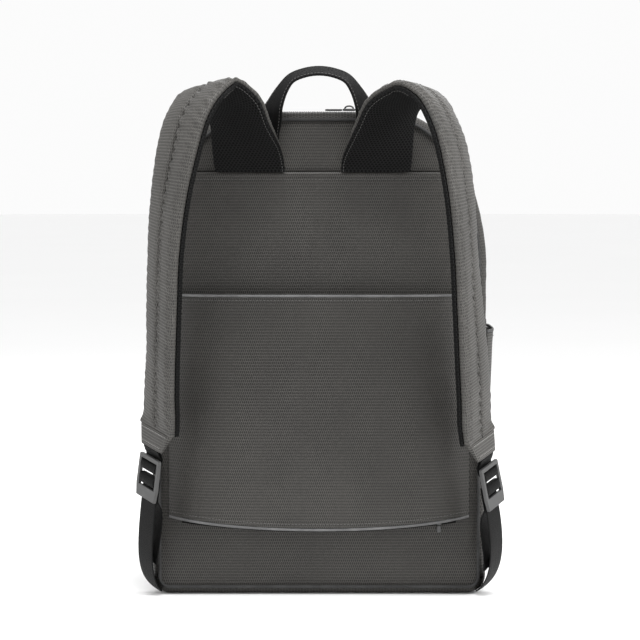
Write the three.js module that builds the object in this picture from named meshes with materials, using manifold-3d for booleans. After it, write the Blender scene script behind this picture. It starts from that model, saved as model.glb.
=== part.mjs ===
// A laptop backpack standing on its base: hollow body sewn from panels, luggage sleeve,
// two padded shoulder straps, grab handle, zips and a side pocket.
// Millimetres, +Z up. The wearer's side faces -Y, and +X is to the right seen from there.
// The origin is the middle of the base, on the surface that the bag stands on.
import * as THREE from "three";
import Module from "manifold-3d";

const wasm = await Module();
wasm.setup();

// Body: overall sizes, measured over the crown of the gusset
const bagWidth = 310;
const bagHeight = 447;
const baseDepth = 150;
const topDepth = 118;
const topCornerWidth = 88;
const topCornerHeight = 145;
const baseCornerRadius = 16;
const edgeRoll = 7; // the crown of the gusset stands this far outside the panel seams
const edgeRollDepth = 10;
const gussetWall = 1.8;
const baseWall = 4;

// Gaps between sewn pieces
const seamGap = 0.5;
const touchGap = 0.35;
const pipingRadius = 1.5;

// Back and front panels
const backPadding = 5;
const backBulge = 8;
const yokeSeamDrop = 55; // from the top of the bag down to the seam that holds the straps
const seamFold = 5; // how proud the lower panel's folded top edge stands
const seamFoldFade = 34;
const frontWall = 5;
const frontBulge = 15;

// Main zip, round the top of the gusset
const zipFromBack = 22;
const zipTapeWidth = 13;
const zipTapeWall = 1.4;
const zipTapeSunk = 0.5;
const zipTeethWidth = 4.4;
const zipTeethRise = 1.1;
const zipEndHeight = 256;
const zipSliderX = 28;
const zipSliderLength = 12;
const zipSliderWidth = 9;
const zipSliderWall = 3;
const zipPullLength = 16;
const zipPullWidth = 6;
const zipPullWall = 1.8;

// Luggage sleeve across the back, open at its top and bottom
const sleeveHalfWidth = 139;
const sleeveTop = 277;
const sleeveBottom = 65;
const sleeveHemRise = 10; // the lower hem's ends stand this much higher than its middle
const sleeveWall = 1.6;
const sleeveGap = 16;
const hemThickness = 2.6;
const sleeveZipTape = 8;
const sleeveZipAbove = 2; // the tape's top edge stands this far above the hem
const sleeveSliderFromSide = 28;
const sleeveSliderWidth = 6.4;
const sleeveSliderLength = 7;
const sleeveSliderWall = 3;
const sleeveSliderNarrow = 0.6; // share of the width left at the slider's lower end
const sleevePullWidth = 4.2;
const sleevePullLength = 7;
const sleevePullWall = 1.2;
const sleevePullNarrow = 0.7; // share of the width left at the pull's upper end

// Side pocket
const pocketTop = 242;
const pocketBottom = 24;
const pocketFlare = 8;
const pocketWall = 1.4;
const pocketRearMargin = 16; // from the seam of the back panel
const pocketFrontMargin = 24;
const pocketBinding = 3;
const pocketBindingProud = 0.5;

// Shoulder straps
const strapWidth = 64;
const strapRootX = 63;
const strapPadding = 8;
const strapMeshWall = 5;
const strapMeshBorder = 1.2;
const strapStandoff = 80; // furthest that a strap's middle stands off the back
const strapEndHeight = 152;
const strapEndWidth = 52;
const strapTaper = 22; // the length over which a strap narrows to its end width
const patchLength = 19;
const patchEndWidth = 34;
const patchWall = 7;
const patchEndWall = 4;
const patchLean = 5; // how far the patch's narrow end lies towards the side of the bag

// Webbing and its buckles
const webbingWidth = 25;
const webbingWall = 1.4;
const buckleSide = 3.4;
const buckleWall = 3.2;
const buckleBarWall = 2.2;
const buckleDrop = 8; // from the patch to the buckle's top bar
const buckleSlack = 0.6; // on each side of the webbing
const buckleBevel = 0.4;
const buckleSplay = 0.6; // how much wider each side is at the start of the lip
const buckleChamfer = 1.2;
const anchorAngle = 60; // degrees round the base's corner at which the webbing ends
const anchorInset = 1.45; // of the gusset's rolled edge under the webbing's end
const anchorFromBack = 3;
const anchorTurn = 68;
const tailLength = 62;
const tailSpread = 7; // how far the free tail bows off the webbing beside it

// Grab handle
const handleWidth = 22;
const handleWall = 2.6;
const handleRootX = 50;
const handleRise = 37; // of the handle's middle above the top of the bag

// Colours, roughness and metalness
const FINISH = {
  shell: { color: 0x53524c, roughness: 0.62, metalness: 0 },
  strap: { color: 0x6b6962, roughness: 0.6, metalness: 0 },
  mesh: { color: 0x1b1b1a, roughness: 0.9, metalness: 0 },
  webbing: { color: 0x191918, roughness: 0.75, metalness: 0 },
  zip: { color: 0x161616, roughness: 0.7, metalness: 0 },
  slider: { color: 0x2b2b2b, roughness: 0.4, metalness: 0.6 },
  buckle: { color: 0x5a5a58, roughness: 0.45, metalness: 0 },
};

const halfWidth = bagWidth / 2;
const backY = -baseDepth / 2;
const shoulderZ = bagHeight - topCornerHeight;
const yokeSeamZ = bagHeight - yokeSeamDrop;
const vec = (x, y, z) => new THREE.Vector3(x, y, z);
const mix = THREE.MathUtils.lerp;
const steps = (count) => Array.from({ length: count + 1 }, (_, k) => k / count);

// A BufferGeometry from vertices and triangles, with its faces turned outwards.
function closedMesh(points, triangles) {
  let volume = 0;
  for (const [a, b, c] of triangles)
    volume += points[a].dot(vec().crossVectors(points[b], points[c]));
  const faces = volume < 0 ? triangles.map(([a, b, c]) => [a, c, b]) : triangles;
  const geometry = new THREE.BufferGeometry();
  geometry.setAttribute(
    "position",
    new THREE.Float32BufferAttribute(points.flatMap((p) => [p.x, p.y, p.z]), 3),
  );
  geometry.setIndex(faces.flat());
  geometry.computeVertexNormals();
  return geometry;
}

// Triangles that fill a flat loop of points and turn the way that the loop runs.
function cap(loop) {
  const normal = loop
    .reduce((sum, p, k) => sum.add(vec().crossVectors(p, loop[(k + 1) % loop.length])), vec())
    .normalize();
  const across = loop[1].clone().sub(loop[0]).normalize();
  const up = vec().crossVectors(normal, across);
  const flat = loop.map((p) => new THREE.Vector2(p.dot(across), p.dot(up)));
  const triangles = THREE.ShapeUtils.triangulateShape(flat, []);
  const area = triangles.reduce(
    (sum, [a, b, c]) => sum + THREE.ShapeUtils.area([flat[a], flat[b], flat[c]]),
    0,
  );
  return area > 0 ? triangles : triangles.map(([a, b, c]) => [a, c, b]);
}

// A solid swept through closed flat loops that all have as many points, capped at both ends.
function sweep(loops) {
  const around = loops[0].length;
  const triangles = [];
  for (let i = 0; i + 1 < loops.length; i++)
    for (let k = 0; k < around; k++) {
      const a = i * around + k;
      const b = i * around + ((k + 1) % around);
      triangles.push([a, b, b + around], [a, b + around, a + around]);
    }
  const last = (loops.length - 1) * around;
  for (const [a, b, c] of cap(loops[0])) triangles.push([a, c, b]);
  for (const [a, b, c] of cap(loops.at(-1))) triangles.push([last + a, last + b, last + c]);
  return closedMesh(loops.flat(), triangles);
}

// A solid swept through closed loops that come back to the first one.
function ring(loops) {
  const around = loops[0].length;
  const triangles = [];
  for (let i = 0; i < loops.length; i++)
    for (let k = 0; k < around; k++) {
      const next = ((i + 1) % loops.length) * around;
      const a = i * around + k;
      const b = i * around + ((k + 1) % around);
      const c = next + ((k + 1) % around);
      triangles.push([a, b, c], [a, c, next + k]);
    }
  return closedMesh(loops.flat(), triangles);
}

// A wall between two grids of points, front[row][column] and back[row][column].
function slab(front, back) {
  const rows = front.length;
  const columns = front[0].length;
  const points = [...front.flat(), ...back.flat()];
  const at = (side, i, j) => side * rows * columns + i * columns + j;
  const triangles = [];
  const quad = (a, b, c, d) => triangles.push([a, b, c], [a, c, d]);
  for (let i = 0; i + 1 < rows; i++)
    for (let j = 0; j + 1 < columns; j++) {
      quad(at(0, i, j), at(0, i, j + 1), at(0, i + 1, j + 1), at(0, i + 1, j));
      quad(at(1, i, j), at(1, i + 1, j), at(1, i + 1, j + 1), at(1, i, j + 1));
    }
  for (let i = 0; i + 1 < rows; i++) {
    quad(at(0, i, 0), at(0, i + 1, 0), at(1, i + 1, 0), at(1, i, 0));
    const j = columns - 1;
    quad(at(0, i, j), at(1, i, j), at(1, i + 1, j), at(0, i + 1, j));
  }
  for (let j = 0; j + 1 < columns; j++) {
    quad(at(0, 0, j), at(1, 0, j), at(1, 0, j + 1), at(0, 0, j + 1));
    const i = rows - 1;
    quad(at(0, i, j), at(0, i, j + 1), at(1, i, j + 1), at(1, i, j));
  }
  return closedMesh(points, triangles);
}

// Outline of the body seen from the back. An inset of 0 is the crown of the gusset.
function halfWidthAt(z, inset) {
  if (z > shoulderZ) {
    const share = Math.min(1, (z - shoulderZ) / (topCornerHeight - inset));
    return halfWidth - topCornerWidth + (topCornerWidth - inset) * Math.sqrt(1 - share * share);
  }
  if (z < baseCornerRadius) {
    const radius = baseCornerRadius - inset;
    const share = Math.min(1, (baseCornerRadius - z) / radius);
    return halfWidth - baseCornerRadius + radius * Math.sqrt(1 - share * share);
  }
  return halfWidth - inset;
}

const CORNER_STEPS = 14;
const BASE_CORNER_STEPS = 4;

// Places round the outline, each a function of the inset. They run up the left side,
// over the top and down the right side between two heights.
function outlineOver(low) {
  const left = steps(3).map((k) => (inset) => vec(inset - halfWidth, 0, mix(low, shoulderZ, k)));
  const corner = steps(CORNER_STEPS).slice(1).map((k) => (inset) => {
    const angle = (k * Math.PI) / 2;
    return vec(
      topCornerWidth - halfWidth - (topCornerWidth - inset) * Math.cos(angle),
      0,
      shoulderZ + (topCornerHeight - inset) * Math.sin(angle),
    );
  });
  const rising = [...left, ...corner];
  const falling = rising.map((place) => (inset) => place(inset).multiply(vec(-1, 1, 1)));
  const middle = (inset) => vec(0, 0, bagHeight - inset);
  return [...rising, middle, ...falling.reverse()];
}

// Places round the base, from the left side under the bag to the right side.
function outlineUnder() {
  const corner = steps(BASE_CORNER_STEPS).map((k) => (inset) => {
    const angle = (k * Math.PI) / 2;
    const radius = baseCornerRadius - inset;
    return vec(
      baseCornerRadius - halfWidth - radius * Math.cos(angle),
      0,
      baseCornerRadius - radius * Math.sin(angle),
    );
  });
  const flat = [-0.33, 0.33].map((share) => (inset) => vec(share * bagWidth, 0, inset));
  const right = corner.map((place) => (inset) => place(inset).multiply(vec(-1, 1, 1)));
  return [...corner, ...flat, ...right.reverse()];
}

const depthAt = (z) => mix(baseDepth, topDepth, Math.pow(Math.max(0, z) / bagHeight, 1.6));

// A section through the rolled edge of the gusset, from the seam to the flat of the crown:
// pairs of distance from the seam and inset, with the wall taken off for the inner face.
const rolledEdge = (wall) =>
  [0, 0.34, 0.67, 1].map((k) => {
    const angle = (k * Math.PI) / 2;
    return {
      from: edgeRollDepth - (edgeRollDepth - wall) * Math.cos(angle),
      inset: edgeRoll - (edgeRoll - wall) * Math.sin(angle),
    };
  });

// One strip of gusset wall along the outline. Its edges are rolled where it meets a panel
// seam, and cut square where rearFrom or frontFrom names a distance from the back seam.
function gussetStrip(places, wall, { rearFrom = null, frontFrom = null }) {
  const face = (depth) => {
    const rear = rearFrom === null
      ? rolledEdge(depth).map((p) => ({ ...p, front: false }))
      : [{ from: rearFrom, inset: depth, front: false }];
    const front = frontFrom === null
      ? rolledEdge(depth).map((p) => ({ ...p, front: true })).reverse()
      : [{ from: frontFrom, inset: depth, front: false }];
    return [...rear, ...front];
  };
  const section = [...face(0), ...face(wall).reverse()];
  return sweep(
    places.map((place) =>
      section.map(({ from, inset, front }) => {
        const p = place(inset);
        p.y = front ? backY + depthAt(p.z) - from : backY + from;
        return p;
      }),
    ),
  );
}

// Heights for the rows of a panel, closer together where its outline turns.
function levels(low, high, inset) {
  const base = steps(3).map((k) => {
    return inset + (baseCornerRadius - inset) * (1 - Math.cos((k * Math.PI) / 2));
  });
  const side = steps(5).map((k) => mix(baseCornerRadius, shoulderZ, k));
  const top = steps(CORNER_STEPS).map((k) => {
    return shoulderZ + (topCornerHeight - inset) * Math.sin((k * Math.PI) / 2);
  });
  const closest = 2;
  const inner = [...base, ...side, ...top].sort((a, b) => a - b);
  const kept = [low];
  for (const z of inner) if (z > kept.at(-1) + closest && z < high - closest) kept.push(z);
  return [...kept, high];
}

const PANEL_COLUMNS = 14;

// Shares from -1 to 1 across a panel, closer together towards its edges.
const acrossShares = (count) => steps(count).map((k) => Math.sin((k - 0.5) * Math.PI));

// How far a pillowed panel stands out at a point: 0 at its edges, 1 over its middle.
function pillow(x, z) {
  const across = Math.min(1, Math.abs(x) / halfWidthAt(z, edgeRoll));
  const up = Math.min(1, Math.abs(z - bagHeight / 2) / (bagHeight / 2 - edgeRoll));
  return (1 - Math.pow(across, 4)) * (1 - Math.pow(up, 4));
}

const yokeY = (x, z) => backY - backBulge * pillow(x, z);

function backPanelY(x, z) {
  const share = THREE.MathUtils.clamp(1 - (yokeSeamZ - z) / seamFoldFade, 0, 1);
  const across = Math.min(1, Math.abs(x) / halfWidthAt(z, edgeRoll + seamGap));
  return yokeY(x, z) - seamFold * share * share * (1 - Math.pow(across, 6));
}

function panel(low, high, outerY, innerY) {
  const inset = edgeRoll + seamGap;
  const grid = (yAt) =>
    levels(low, high, inset).map((z) => {
      const reach = halfWidthAt(z, inset);
      return acrossShares(PANEL_COLUMNS).map((u) => vec(u * reach, yAt(u * reach, z), z));
    });
  return slab(grid(outerY), grid(innerY));
}

function makeBackPanel() {
  const low = edgeRoll + seamGap;
  return panel(low, yokeSeamZ - seamGap / 2, backPanelY, () => backY + backPadding);
}

function makeBackYoke() {
  const high = bagHeight - edgeRoll - seamGap;
  return panel(yokeSeamZ + seamGap / 2, high, yokeY, () => backY + backPadding);
}

function makeFrontPanel() {
  const low = edgeRoll + seamGap;
  const high = bagHeight - edgeRoll - seamGap;
  const y = (x, z) => backY + depthAt(z) + frontBulge * pillow(x, z);
  return panel(low, high, y, (x, z) => y(x, z) - frontWall);
}

// The luggage sleeve
const sleeveHem = (x) => sleeveBottom + sleeveHemRise * Math.pow(x / sleeveHalfWidth, 2);

function sleeveY(x, z) {
  const across = Math.min(1, Math.abs(x) / sleeveHalfWidth);
  return backPanelY(x, z) - seamGap - sleeveGap * (1 - Math.pow(across, 6));
}

function makeSleeve() {
  const grid = (offset) =>
    steps(9).map((k) =>
      acrossShares(PANEL_COLUMNS).map((u) => {
        const x = u * sleeveHalfWidth;
        const z = mix(sleeveHem(x), sleeveTop, k);
        return vec(x, sleeveY(x, z) - offset, z);
      }),
    );
  return slab(grid(sleeveWall), grid(0));
}

// A rounded binding that runs across the sleeve just past one of its hems.
function makeSleeveBinding(zAt) {
  const radius = hemThickness / 2;
  return sweep(
    acrossShares(PANEL_COLUMNS).map((u) => {
      const x = u * sleeveHalfWidth;
      const z = zAt(x);
      const y = sleeveY(x, z) - sleeveWall / 2;
      return steps(6).slice(1).map((k) => {
        const angle = 2 * Math.PI * k;
        return vec(x, y + radius * Math.cos(angle), z + radius * Math.sin(angle));
      });
    }),
  );
}

// The zip tape that the sleeve's lower hem can be closed on, flat on the back panel.
function makeSleeveZip() {
  const reach = sleeveHalfWidth - webbingWidth / 2;
  const grid = (offset) =>
    [sleeveZipAbove - sleeveZipTape, sleeveZipAbove].map((rise) =>
      acrossShares(PANEL_COLUMNS).map((u) => {
        const x = u * reach;
        const z = sleeveHem(x) + rise;
        return vec(x, backPanelY(x, z) - touchGap - offset, z);
      }),
    );
  return slab(grid(zipTapeWall), grid(0));
}

// Where the sleeve zip's slider sits: its middle, on the outer face of the tape.
function sleeveSliderSeat() {
  const x = sleeveHalfWidth - sleeveSliderFromSide;
  const z = sleeveHem(x) + sleeveZipAbove - sleeveZipTape / 2;
  return vec(x, backPanelY(x, z) - 2 * touchGap - zipTapeWall, z);
}

function makeSleeveSlider() {
  const seat = sleeveSliderSeat();
  const half = sleeveSliderWidth / 2;
  const plan = new THREE.Shape([
    new THREE.Vector2(-half * sleeveSliderNarrow, -sleeveSliderLength / 2),
    new THREE.Vector2(half * sleeveSliderNarrow, -sleeveSliderLength / 2),
    new THREE.Vector2(half, sleeveSliderLength / 2),
    new THREE.Vector2(-half, sleeveSliderLength / 2),
  ]);
  const body = new THREE.ExtrudeGeometry(plan, { depth: sleeveSliderWall, bevelEnabled: false });
  return body.rotateX(Math.PI / 2).translate(seat.x, seat.y, seat.z);
}

// The pull is a rounded tab that hangs from the slider's lower end.
function makeSleevePull() {
  const seat = sleeveSliderSeat();
  const radius = sleevePullWidth / 2;
  const plan = new THREE.Shape();
  plan.moveTo(-radius * sleevePullNarrow, 0);
  plan.lineTo(radius * sleevePullNarrow, 0);
  plan.lineTo(radius, radius - sleevePullLength);
  plan.absarc(0, radius - sleevePullLength, radius, 0, -Math.PI, true);
  const tab = new THREE.ExtrudeGeometry(plan, {
    depth: sleevePullWall, bevelEnabled: false, curveSegments: 8,
  });
  const top = seat.z - sleeveSliderLength / 2 - touchGap;
  return tab.rotateX(Math.PI / 2).translate(seat.x, seat.y - touchGap, top);
}

// The pocket on the right side: a wall that leaves the side panel towards its open top.
function makePocket(isBinding) {
  const from = backY + pocketRearMargin;
  const to = -backY - pocketFrontMargin;
  const rise = isBinding ? [0, 0.5, 1] : steps(8);
  const low = isBinding ? pocketTop + touchGap : pocketBottom;
  const high = isBinding ? pocketTop + touchGap + pocketBinding : pocketTop;
  const grid = (wall) =>
    rise.map((v) => {
      const z = mix(low, high, v);
      const lift = Math.pow(Math.min(1, (z - pocketBottom) / (pocketTop - pocketBottom)), 1.5);
      return acrossShares(8).map((u) => {
        const bow = 1 - Math.pow(Math.abs(u), 4);
        const stand = touchGap + pocketFlare * bow * lift;
        return vec(halfWidth + stand + wall, mix(from, to, (u + 1) / 2), z);
      });
    });
  const proud = isBinding ? pocketWall + pocketBindingProud : pocketWall;
  return slab(grid(proud), grid(0));
}

// A smooth curve through the rows of a table: the value of each named column at a share
// of the way from its first row to its last.
function alongTable(rows, share) {
  const at = share * (rows.length - 1);
  const i = Math.min(rows.length - 2, Math.floor(at));
  const t = at - i;
  const row = (k) => rows[THREE.MathUtils.clamp(k, 0, rows.length - 1)];
  const blend = (a, b, c, d) => {
    const m0 = (c - a) / 2;
    const m1 = (d - b) / 2;
    return (
      (2 * t ** 3 - 3 * t ** 2 + 1) * b + (t ** 3 - 2 * t ** 2 + t) * m0 +
      (3 * t ** 2 - 2 * t ** 3) * c + (t ** 3 - t ** 2) * m1
    );
  };
  const names = Object.keys(rows[0]);
  return Object.fromEntries(
    names.map((n) => [n, blend(row(i - 1)[n], row(i)[n], row(i + 1)[n], row(i + 2)[n])]),
  );
}

// Frames along a strip of stations {centre, wide}: its run, its width across the run and
// the normal of its outer face. A skew of 1 keeps the width as it was given.
function framesOf(stations) {
  return stations.map((station, i) => {
    const before = stations[Math.max(0, i - 1)].centre;
    const after = stations[Math.min(stations.length - 1, i + 1)].centre;
    const run = after.clone().sub(before).normalize();
    const along = station.wide.dot(run) * (1 - (station.skew ?? 0));
    const wide = station.wide.clone().addScaledVector(run, -along).normalize();
    return { ...station, run, wide, out: vec().crossVectors(run, wide).normalize() };
  });
}

const placed = ({ centre, wide, out }, across, up) =>
  centre.clone().addScaledVector(wide, across).addScaledVector(out, up);

// A flat strip of webbing through stations {centre, wide}.
function strip(stations, width, wall) {
  const section = [[-1, -1], [1, -1], [1, 1], [-1, 1]];
  return sweep(
    framesOf(stations).map((frame) =>
      section.map(([a, b]) => placed(frame, (a * width) / 2, (b * wall) / 2)),
    ),
  );
}

// Shoulder straps. Each row is a section through one strap, from its root in the yoke seam
// to its lower end. rise is a share of the way from the strap's end height up to the yoke
// seam, side a share of the way from the root's place out to the side of the bag, out a
// share of the standoff, turn the angle in degrees that the strap's inner edge is turned
// towards the wearer, tilt how much that edge is lifted, and pad a share of the padding.
const STRAPS = {
  left: [
    { rise: 1.001, side: 0.0, out: 0.015, turn: 0, tilt: 0.0, pad: 0.12 },
    { rise: 1.035, side: 0.01, out: 0.045, turn: 1, tilt: 0.0, pad: 0.3 },
    { rise: 1.09, side: 0.03, out: 0.13, turn: 12, tilt: 0.0, pad: 0.6 },
    { rise: 1.17, side: 0.075, out: 0.27, turn: 33, tilt: 0.03, pad: 0.85 },
    { rise: 1.255, side: 0.16, out: 0.43, turn: 40, tilt: 0.12, pad: 0.85 },
    { rise: 1.3, side: 0.36, out: 0.62, turn: 32, tilt: 0.2, pad: 0.85 },
    { rise: 1.265, side: 0.475, out: 0.8, turn: 42, tilt: 0.18, pad: 0.9 },
    { rise: 1.19, side: 0.578, out: 0.92, turn: 50, tilt: 0.12, pad: 1.0 },
    { rise: 1.08, side: 0.656, out: 0.98, turn: 54, tilt: 0.06, pad: 1.0 },
    { rise: 0.9, side: 0.74, out: 1.0, turn: 60, tilt: 0.0, pad: 1.0 },
    { rise: 0.7, side: 0.791, out: 0.94, turn: 64, tilt: 0.0, pad: 1.0 },
    { rise: 0.52, side: 0.813, out: 0.84, turn: 65, tilt: 0.0, pad: 1.0 },
    { rise: 0.34, side: 0.83, out: 0.73, turn: 66, tilt: 0.0, pad: 1.0 },
    { rise: 0.18, side: 0.849, out: 0.63, turn: 65, tilt: 0.0, pad: 1.0 },
    { rise: 0.09, side: 0.861, out: 0.57, turn: 61, tilt: 0.0, pad: 0.9 },
    { rise: 0.033, side: 0.878, out: 0.54, turn: 54, tilt: 0.0, pad: 0.75 },
  ],
  right: [
    { rise: 1.001, side: -0.119, out: 0.015, turn: 0, tilt: 0.0, pad: 0.12 },
    { rise: 1.035, side: -0.113, out: 0.045, turn: 2, tilt: 0.0, pad: 0.3 },
    { rise: 1.09, side: -0.092, out: 0.13, turn: 18, tilt: 0.0, pad: 0.6 },
    { rise: 1.17, side: -0.048, out: 0.27, turn: 36, tilt: 0.04, pad: 0.85 },
    { rise: 1.25, side: 0.04, out: 0.43, turn: 46, tilt: 0.1, pad: 0.85 },
    { rise: 1.295, side: 0.232, out: 0.62, turn: 57, tilt: 0.12, pad: 0.85 },
    { rise: 1.26, side: 0.39, out: 0.8, turn: 64, tilt: 0.1, pad: 0.9 },
    { rise: 1.183, side: 0.498, out: 0.92, turn: 68, tilt: 0.06, pad: 1.0 },
    { rise: 1.075, side: 0.59, out: 0.98, turn: 68, tilt: 0.03, pad: 1.0 },
    { rise: 0.9, side: 0.664, out: 1.0, turn: 70, tilt: 0.0, pad: 1.0 },
    { rise: 0.7, side: 0.708, out: 0.94, turn: 72, tilt: 0.0, pad: 1.0 },
    { rise: 0.52, side: 0.747, out: 0.84, turn: 70, tilt: 0.0, pad: 1.0 },
    { rise: 0.33, side: 0.793, out: 0.73, turn: 67, tilt: 0.0, pad: 1.0 },
    { rise: 0.16, side: 0.826, out: 0.63, turn: 66, tilt: 0.0, pad: 1.0 },
    { rise: 0.06, side: 0.843, out: 0.57, turn: 64, tilt: 0.0, pad: 0.9 },
    { rise: 0.0, side: 0.87, out: 0.54, turn: 58, tilt: 0.0, pad: 0.75 },
  ],
};
const STRAP_STEPS = 34;
const strapRootShare = 0.16; // the share of a strap's sections that follow the yoke seam

// The width direction of a strap or webbing on the left side, from its turn and tilt.
function wideOf(turn, tilt) {
  const angle = THREE.MathUtils.degToRad(turn);
  return vec(Math.cos(angle), -Math.sin(angle), tilt).normalize();
}

// Stations of a strap, as if on the left side. Their centres lie between pad and mesh.
function strapStations(rows) {
  const end = mix(strapEndHeight, yokeSeamZ, rows.at(-1).rise);
  const stations = steps(STRAP_STEPS).map((share) => {
    const { rise, side, out, turn, tilt, pad } = alongTable(rows, share);
    const x = -mix(strapRootX, halfWidth, side);
    const z = mix(strapEndHeight, yokeSeamZ, rise);
    const y = backY - backBulge - strapStandoff * out;
    const fromEnd = share > 0.5 ? THREE.MathUtils.clamp((z - end) / strapTaper, 0, 1) : 1;
    const width = mix(strapEndWidth, strapWidth, Math.sqrt(fromEnd));
    const skew = Math.max(0, 1 - share / strapRootShare);
    return { centre: vec(x, y, z), wide: wideOf(turn, tilt), width, pad, skew };
  });
  return framesOf(stations);
}

// The padded outer part: flat on the mesh and swelling in two channels beside a seam.
const PAD_SECTION = [
  { across: -1, up: 0 }, { across: 1, up: 0 }, { across: 1, up: 0.45 },
  { across: 0.86, up: 0.84 }, { across: 0.5, up: 1 }, { across: 0.16, up: 0.86 },
  { across: 0, up: 0.62 }, { across: -0.16, up: 0.86 }, { across: -0.5, up: 1 },
  { across: -0.86, up: 0.84 }, { across: -1, up: 0.45 },
];

function makeStrapPad(stations) {
  return sweep(
    stations.map((s) =>
      PAD_SECTION.map(({ across, up }) => {
        const reach = s.width / 2 - strapMeshBorder;
        return placed(s, across * reach, touchGap / 2 + up * strapPadding * s.pad);
      }),
    ),
  );
}

function makeStrapMesh(stations) {
  const section = [[-1, 0], [1, 0], [0.96, -1], [-0.96, -1]];
  return sweep(
    stations.map((s) =>
      section.map(([a, b]) => {
        const wall = strapMeshWall * mix(0.5, 1, s.pad);
        return placed(s, (a * s.width) / 2, b * wall - touchGap / 2);
      }),
    ),
  );
}

// Buckle sizes along its length, from its upper edge down
const BUCKLE = {
  length: 40,
  topBar: [0, 4],
  upperBar: [7.5, 11.5],
  lowerBar: [20, 24],
  lip: [29, 40],
};

const rectangle = (x0, x1, y0, y1) => [
  new THREE.Vector2(x0, y0), new THREE.Vector2(x1, y0),
  new THREE.Vector2(x1, y1), new THREE.Vector2(x0, y1),
];

// A geometry as a solid that can be joined or cut, and back.
function solidOf(geometry) {
  const source = geometry.index ? geometry.toNonIndexed() : geometry;
  const keys = new Map();
  const vertices = [];
  const triangles = [];
  const position = source.getAttribute("position");
  for (let i = 0; i < position.count; i++) {
    const p = [position.getX(i), position.getY(i), position.getZ(i)];
    const key = p.map((value) => Math.round(value * 1e4)).join();
    if (!keys.has(key)) {
      keys.set(key, vertices.length / 3);
      vertices.push(...p);
    }
    triangles.push(keys.get(key));
  }
  return new wasm.Manifold(new wasm.Mesh({
    numProp: 3,
    vertProperties: new Float32Array(vertices),
    triVerts: new Uint32Array(triangles),
  }));
}

function geometryOf(solid) {
  const mesh = solid.getMesh();
  const geometry = new THREE.BufferGeometry();
  geometry.setAttribute("position", new THREE.BufferAttribute(mesh.vertProperties, 3));
  geometry.setIndex(new THREE.BufferAttribute(mesh.triVerts, 1));
  geometry.computeVertexNormals();
  return geometry;
}

const block = (sx, sy, sz, x, y, z) => new THREE.BoxGeometry(sx, sy, sz).translate(x, y, z);

const joined = (geometries) =>
  geometryOf(geometries.map(solidOf).reduce((sum, solid) => sum.add(solid)));

// The ladder buckle in its own frame: x across, y down its length, z its outer face.
function makeBuckle() {
  const inner = webbingWidth / 2 + buckleSlack;
  const outer = inner + buckleSide;
  const lipStart = BUCKLE.lip[0];
  const frame = new THREE.Shape([
    new THREE.Vector2(buckleChamfer - outer, 0),
    new THREE.Vector2(outer - buckleChamfer, 0),
    new THREE.Vector2(outer, buckleChamfer),
    new THREE.Vector2(outer + buckleSplay, lipStart),
    new THREE.Vector2(outer - buckleChamfer, BUCKLE.length),
    new THREE.Vector2(buckleChamfer - outer, BUCKLE.length),
    new THREE.Vector2(-outer - buckleSplay, lipStart),
    new THREE.Vector2(-outer, buckleChamfer),
  ]);
  frame.holes.push(new THREE.Path(rectangle(-inner, inner, BUCKLE.topBar[1], lipStart)));
  const plate = new THREE.ExtrudeGeometry(frame, {
    depth: buckleWall - 2 * buckleBevel, bevelEnabled: true, bevelThickness: buckleBevel,
    bevelSize: buckleBevel, bevelOffset: -buckleBevel, bevelSegments: 1,
  }).translate(0, 0, buckleBevel - buckleWall / 2);
  const bars = [BUCKLE.upperBar, BUCKLE.lowerBar].map(([from, to]) =>
    block(2 * inner + 1, to - from, buckleBarWall, 0, (from + to) / 2, 0));
  return joined([plate, ...bars]);
}

// The end of a strap's patch, where the buckle's short webbing leaves it.
function patchEnd(stations) {
  const end = stations.at(-1);
  const middle = (strapPadding * end.pad) / 2;
  const centre = placed(end, -patchLean, middle).addScaledVector(end.run, touchGap + patchLength);
  return { ...end, centre };
}

// The sewn patch that closes a strap's lower end and narrows towards the webbing.
function makeStrapPatch(stations) {
  const end = patchEnd(stations);
  const start = { ...end, centre: placed(end, patchLean, 0).addScaledVector(end.run, -patchLength) };
  const section = (frame, width, wall) =>
    [[-1, -0.5], [-0.9, -1], [0.9, -1], [1, -0.5], [1, 0.5], [0.9, 1], [-0.9, 1], [-1, 0.5]]
      .map(([a, b]) => placed(frame, (a * width) / 2, (b * wall) / 2));
  return sweep([
    section(start, strapEndWidth - 2 * strapMeshBorder, patchWall),
    section(end, patchEndWidth, patchEndWall),
  ]);
}

// A point in a buckle's frame: y down its length, up out of its outer face.
const inBuckle = (end, y, up) =>
  placed(end, 0, up).addScaledVector(end.run, touchGap + buckleDrop + y);

const halfWebbing = webbingWall / 2;
const onPlate = buckleWall / 2 + touchGap + halfWebbing;
const onBar = (buckleBarWall + webbingWall) / 2 + 1.5 * touchGap;

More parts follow.
